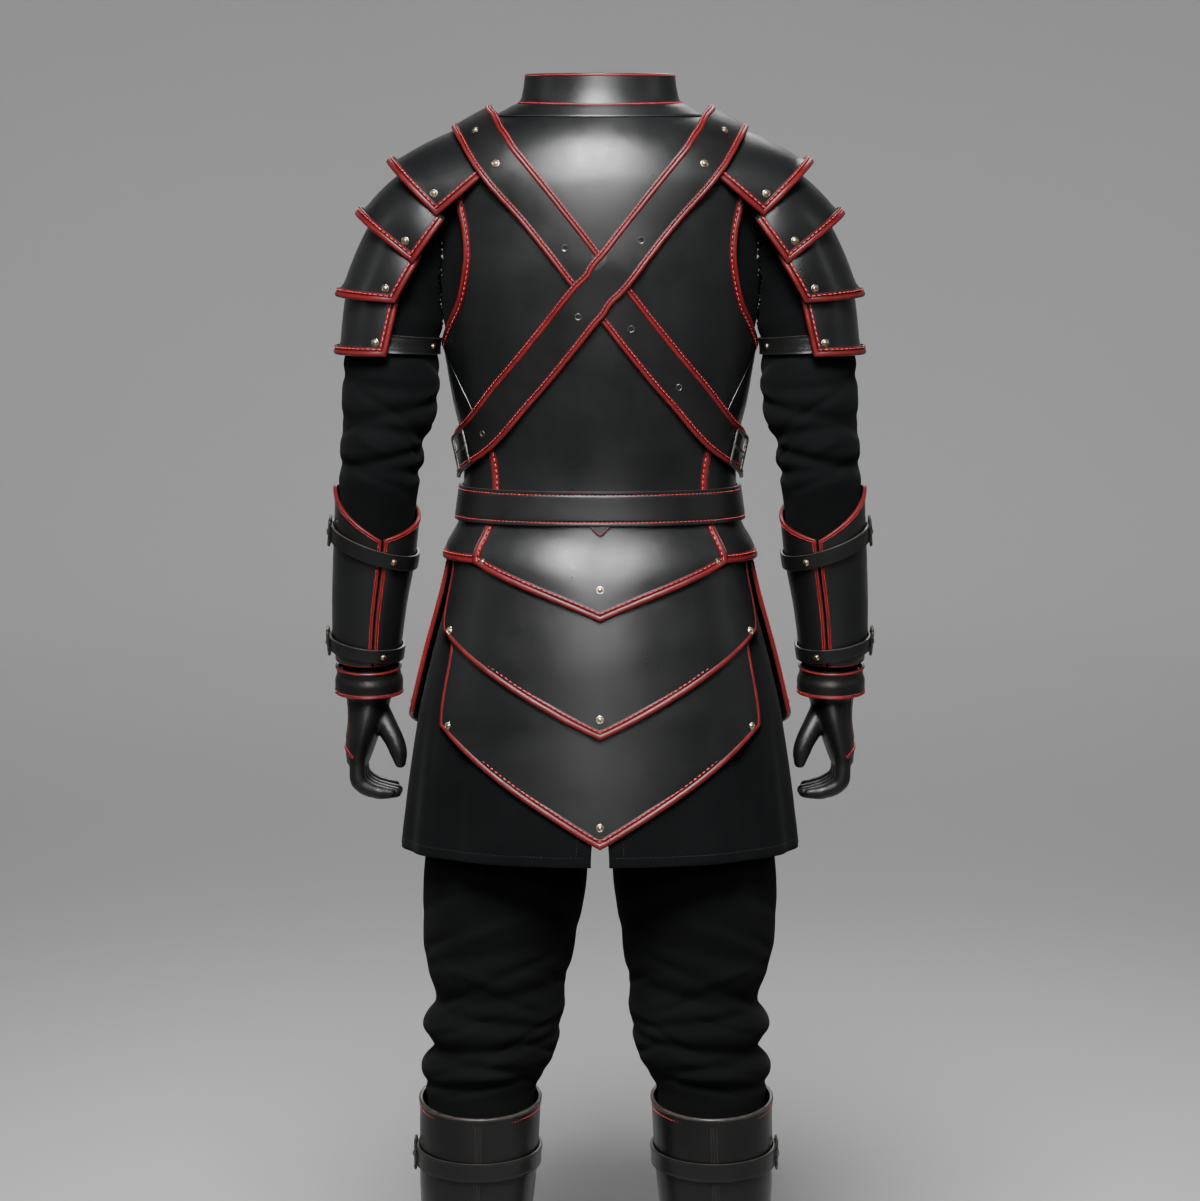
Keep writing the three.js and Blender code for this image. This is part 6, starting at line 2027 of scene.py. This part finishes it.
@dataclass
class Boots:
    """The boots: a shaft that runs into the foot, a heeled sole, and a buckled strap below the rim."""

    wall: float = 3.0
    fineness: float = 4.8
    smoothings: int = 4
    rim: float = 389.0
    foot_x: float = 147.0
    sole_top: float = 24.0
    strap_height: float = 322.0
    strap_width: float = 22.0
    strap_rise: float = 8.0
    foot: Table = Table("y width top", [
        (-52, 33, 74), (-34, 40, 96), (22, 41, 98), (72, 44, 86), (124, 49, 68), (170, 48, 58), (206, 40, 50),
        (227, 24, 42),
    ])

    def centre(self, side: Side) -> float:
        """The middle of the foot."""
        return side.sign * self.foot_x + FOOT_SHIFT[side]

    def upper(self, side: Side) -> bpy.types.Object:
        """The boot's leather, as one skin."""
        heights = np.concatenate([np.linspace(74, 389, 40), [404]])
        angle = np.arange(64) * TURN / 64
        u, v = np.meshgrid(heights, angle, indexing="ij")
        fold = sum(d * np.exp(-(((u - h - 7 * np.sin(v - a)) / w) ** 2)) for h, d, w, a in (
            (112, 2.4, 5, 4.7), (128, 2.0, 5, 5.2), (146, 1.6, 6, 4.4), (98, 1.8, 4, 4.9)))
        front = 0.55 - 0.45 * np.sin(v)
        shaft = boot_point(side, u, v, -fold * front)
        y = np.concatenate([np.linspace(-52, -40, 8), np.linspace(-34, 206, 36), np.linspace(210, 227, 9)])
        width, top = self.foot.at("width", y), self.foot.at("top", y)
        blunt = np.sqrt(np.clip((229 - y) / 20, 0, 1)) * np.sqrt(np.clip((y + 55) / 14, 0.02, 1))
        turn = np.arange(40) * TURN / 40
        flat = power_of(np.cos(turn), 0.72)
        rise = power_of(np.sin(turn), 0.8)
        middle = self.sole_top + 0.4 + 0.36 * (top - self.sole_top)
        z = middle[:, None] + np.where(rise > 0, rise * (top - middle)[:, None], rise * (middle - 24.4)[:, None])
        foot = stack(self.centre(side) + flat * (width * blunt)[:, None], y[:, None], z)
        slope = 2 * math.tan(5 * DEGREE)
        cut = (np.array([0, -11.0, self.rim]), np.array([0, -slope, 1.0]) / math.hypot(slope, 1))
        return moulded(f"boot_leather_{side.label}", [ring_loft(shaft), ring_loft(foot)], self.fineness,
                        self.smoothings, cut, self.wall)

    def sole(self, side: Side) -> Shell:
        """The heeled sole with its welt."""
        y = np.concatenate([np.linspace(-56, -40, 10), np.linspace(-34, 206, 50), np.linspace(210, 231, 12)])
        half = (self.foot.at("width", y) + 4) * np.sqrt(np.clip((231.2 - y) / 26, 0, 1)) ** 0.9
        half = half * np.sqrt(np.clip((y + 56.3) / 18, 0, 1)) ** 0.9
        arch = 11 * smooth(16, 22, y) * smooth(64, 58, y)
        lift = arch + 1.5 * smooth(180, 231, y)
        section = [(-0.95, 0.0), (-0.985, 0.1), (-0.985, 0.66), (-1.0, 0.72), (-1.0, 0.95), (-0.97, 1.0)]
        section = section + [(-x, h) for x, h in reversed(section)]
        rings = np.stack([
            stack(self.centre(side) + x * half, y, np.maximum(lift + h * (self.sole_top - lift), 0))
            for x, h in section
        ], axis=1)
        return ring_loft(rings)

    def build(self) -> None:
        """Builds both boots."""
        for side in Side:
            word = side.label
            place_piece(self.upper(side), Finish.BOOT, [f"boot_{word}"], 60)
            add_piece(f"boot_sole_rubber_{word}", self.sole(side), Finish.SOLE, [f"boot_sole_{word}"], 35)
            self.dress(side)

    def dress(self, side: Side) -> None:
        """Sews the rim and the back seam, and puts on the strap and its buckle."""
        word = side.label
        angle = np.linspace(0, TURN, 97)[:-1]

        def shaft(turn: Array, height: Array, lift: Array) -> Array:
            """A place on the shaft."""
            return boot_point(side, height, turn, lift)

        rim = shaft(angle, self.rim - 0.6 + 0 * angle, 0 * angle)
        out = unit(shaft(angle, self.rim + 0 * angle, 1 + 0 * angle) - shaft(angle, self.rim + 0 * angle, 0 * angle))
        rail = Rail.through(rim, out, rim.mean(axis=0) - np.array([0, 0, 100.0]), True)
        roll = [(3.2, 0.0), (2.6, 0.7), (1.2, 1.1), (0, 0.9), (-0.9, 0.0), (-1.2, -1.5), (-0.8, -3.0), (0.6, -3.7),
                (3.0, -3.6), (3.0, -3.1), (0.4, -2.8), (0.4, -0.2), (3.0, -0.2)]
        wear = [0, 0.3, 0.8, 1, 1, 0.9, 0.5, 0.2, 0, 0, 0, 0, 0]
        add_piece(f"boot_rim_{word}", rail.sweep(roll, wear), Finish.BOOT)
        threads = [thread_run(rail.offset(7.5, 0.5), out, 4.4, 3.2, 0.45, True)]
        heights = np.linspace(self.rim - 10, 120, 70)
        line = shaft(math.pi / 2 + 0 * heights, heights, 0.0 * heights)
        away = unit(shaft(math.pi / 2 + 0 * heights, heights, 1 + 0 * heights) - line)
        seam = Rail.through(line, away, line.mean(axis=0) + np.array([60.0, 0, 0]))
        strip_section = [(-5, -0.3), (-4.6, 0.5), (-0.7, 0.8), (0, 1.2), (0.7, 0.8), (4.6, 0.5), (5, -0.3)]
        add_piece(f"boot_back_seam_{word}", seam.sweep(strip_section, [0, 0.2, 0, 0.7, 0, 0.2, 0]), Finish.BOOT)
        dark = [thread_run(seam.offset(x, 0.75), away, 4.2, 3.0, 0.35) for x in (-3.4, 3.4)]
        add_piece(f"boot_stitches_{word}", joined(threads), Finish.THREAD)

        def strap(turn: Array, along: Array, lift: Array) -> Array:
            """A place on the strap, which rises to the front."""
            step = (along - 0.5) * self.strap_width
            p = boot_point(side, self.strap_height + step, turn, lift)
            p[..., 2] = self.strap_height - self.strap_rise * np.sin(turn) + step
            return p

        rows = np.concatenate([[0, 0.03], np.linspace(0.1, 0.9, 9), [0.97, 1]])
        shell = sheet(strap, angle, rows, LAYER_GAP, STRAP, True, 1.0)
        add_piece(f"boot_strap_leather_{word}", shell, Finish.STRAP, [f"boot_strap_{word}"])
        for along in (0.13, 0.87):
            line = strap(angle, along + 0 * angle, LAYER_GAP + STRAP + 0.1 + 0 * angle)
            up = unit(strap(angle, along + 0 * angle, LAYER_GAP + STRAP + 1 + 0 * angle) - line)
            dark.append(thread_run(line, up, 4.4, 3.2, 0.36, True))
        x = self.centre(side)
        y = np.linspace(-46, 214, 90)
        for sign in (-1, 1):
            half = (self.foot.at("width", y) + 2.2) * np.sqrt(np.clip((231.2 - y) / 26, 0, 1)) ** 0.9
            half = half * np.sqrt(np.clip((y + 56.3) / 18, 0, 1)) ** 0.9
            line = stack(x + sign * half, y, self.sole_top + 0.25)
            dark.append(thread_run(line, np.tile([0, 0, 1.0], (len(y), 1)), 5.0, 3.6, 0.5))
        add_piece(f"boot_dark_stitches_{word}", joined(dark), Finish.DARK_THREAD)
        place = boot_point(side, np.array([self.strap_height]), np.array([0.0]), LAYER_GAP + STRAP - 1.2)[0]
        buckle = Buckle(self.strap_width).shell(place, np.array([0, 1.0, 0]), np.array([side.sign, 0, 0]))
        add_piece(f"boot_buckle_steel_{word}", buckle, Finish.STEEL, [f"boot_buckle_{word}"])


@dataclass(frozen=True)
class SoftBox:
    """A soft light: where it stands and aims, in metres, its size, its power and how wide its beam is in degrees."""

    name: str
    place: tuple[float, float, float]
    aim: tuple[float, float, float]
    size: tuple[float, float]
    watts: float
    spread: float


@dataclass
class Studio:
    """A plain pale floor that sweeps up all round, soft lights, and the camera of the photograph."""

    floor_radius: float = 7.5
    sweep: float = 2.5
    wall_height: float = 9.0
    camera_place: tuple[float, float, float] = (0.0, -4.5, -0.051)
    camera_aim: tuple[float, float, float] = (0.0, 0.0, -0.534)
    lens: float = 117.97
    boxes: tuple[SoftBox, ...] = (
        SoftBox("key", (-0.2, -2.9, 2.7), (0, 0, -0.3), (1.5, 1.7), 86, 62),
        SoftBox("low_key", (-0.1, -5.2, 1.45), (0, 0, -0.5), (1.2, 0.8), 6, 42),
        SoftBox("back_wall", (0, 5.4, 6.0), (0, 9.8, -1.2), (10.0, 3.4), 290, 120),
        SoftBox("left_wall", (-5.4, 0, 6.0), (-9.8, 0, -1.2), (8.0, 3.4), 170, 120),
        SoftBox("right_wall", (5.4, 0, 6.0), (9.8, 0, -1.2), (8.0, 3.4), 170, 120),
        SoftBox("front_wall", (0, -6.4, 6.2), (0, -9.8, -0.6), (8.0, 3.0), 110, 110),
        SoftBox("left", (-4.2, -0.8, 1.6), (0, 0, -0.4), (0.5, 2.2), 3, 90),
        SoftBox("right", (4.2, -0.8, 1.6), (0, 0, -0.4), (0.5, 2.2), 3, 90),
        SoftBox("front", (0.4, 4.0, 2.6), (0, 0, -0.4), (2.0, 1.8), 20, 80),
    )
    sky: float = 0.05

    def build(self) -> None:
        """Builds the floor, the lights and the camera."""
        base = -HELD_HEIGHT / 1000
        turn = np.linspace(0, math.pi / 2, 14)
        profile = [(r, base) for r in np.linspace(0.02, self.floor_radius, 8)]
        profile += [(self.floor_radius + self.sweep * math.sin(a), base + self.sweep * (1 - math.cos(a))) for a in turn]
        profile += [(self.floor_radius + self.sweep, base + self.wall_height)]
        angle = np.arange(96) * TURN / 96
        points = np.array([(r * math.cos(a), r * math.sin(a), z) for r, z in profile for a in angle])
        index = np.arange(len(points)).reshape(len(profile), 96)
        mesh = bpy.data.meshes.new("studio_floor")
        faces = quads(np.concatenate([index, index[:, :1]], axis=1)).tolist() + [index[0].tolist()]
        mesh.from_pydata(points.tolist(), [], faces)
        mesh.shade_smooth()
        floor = bpy.data.objects.new("studio_floor", mesh)
        bpy.context.scene.collection.objects.link(floor)
        mesh.materials.append(Finish.BACKDROP.material())
        for box in self.boxes:
            light = bpy.data.lights.new(box.name, "AREA")
            light.shape, light.size, light.size_y = "RECTANGLE", box.size[0], box.size[1]
            light.energy = box.watts
            light.spread = box.spread * DEGREE
            lamp = bpy.data.objects.new(box.name, light)
            lamp.location = box.place
            lamp.rotation_euler = (Vector(box.aim) - Vector(box.place)).to_track_quat("-Z", "Y").to_euler()
            lamp.visible_camera = False
            bpy.context.scene.collection.objects.link(lamp)
        world = bpy.data.worlds.new("studio")
        world.use_nodes = True
        world.node_tree.nodes["Background"].inputs["Color"].default_value = (0.97, 0.985, 1.0, 1)
        world.node_tree.nodes["Background"].inputs["Strength"].default_value = self.sky
        bpy.context.scene.world = world
        lens = bpy.data.cameras.new("photo_camera")
        lens.lens, lens.sensor_width = self.lens, 36.0
        lens.clip_end = 100
        camera = bpy.data.objects.new("photo_camera", lens)
        camera.location = self.camera_place
        aim = Vector(self.camera_aim) - Vector(self.camera_place)
        camera.rotation_euler = aim.to_track_quat("-Z", "Y").to_euler()
        bpy.context.scene.collection.objects.link(camera)
        bpy.context.scene.camera = camera


def main() -> None:
    """Builds the set from the cloth outwards, then the studio."""
    logging.basicConfig(level=logging.INFO, format="%(message)s")
    for part in (Studio(), Tunic(), Trousers(), BodyPanels(), Collar(), HangingPlates(), Belt(), CrossStraps(),
                 ShoulderLames(), ArmGear(), Glove(), Boots()):
        part.build()


if __name__ == "__main__":
    main()
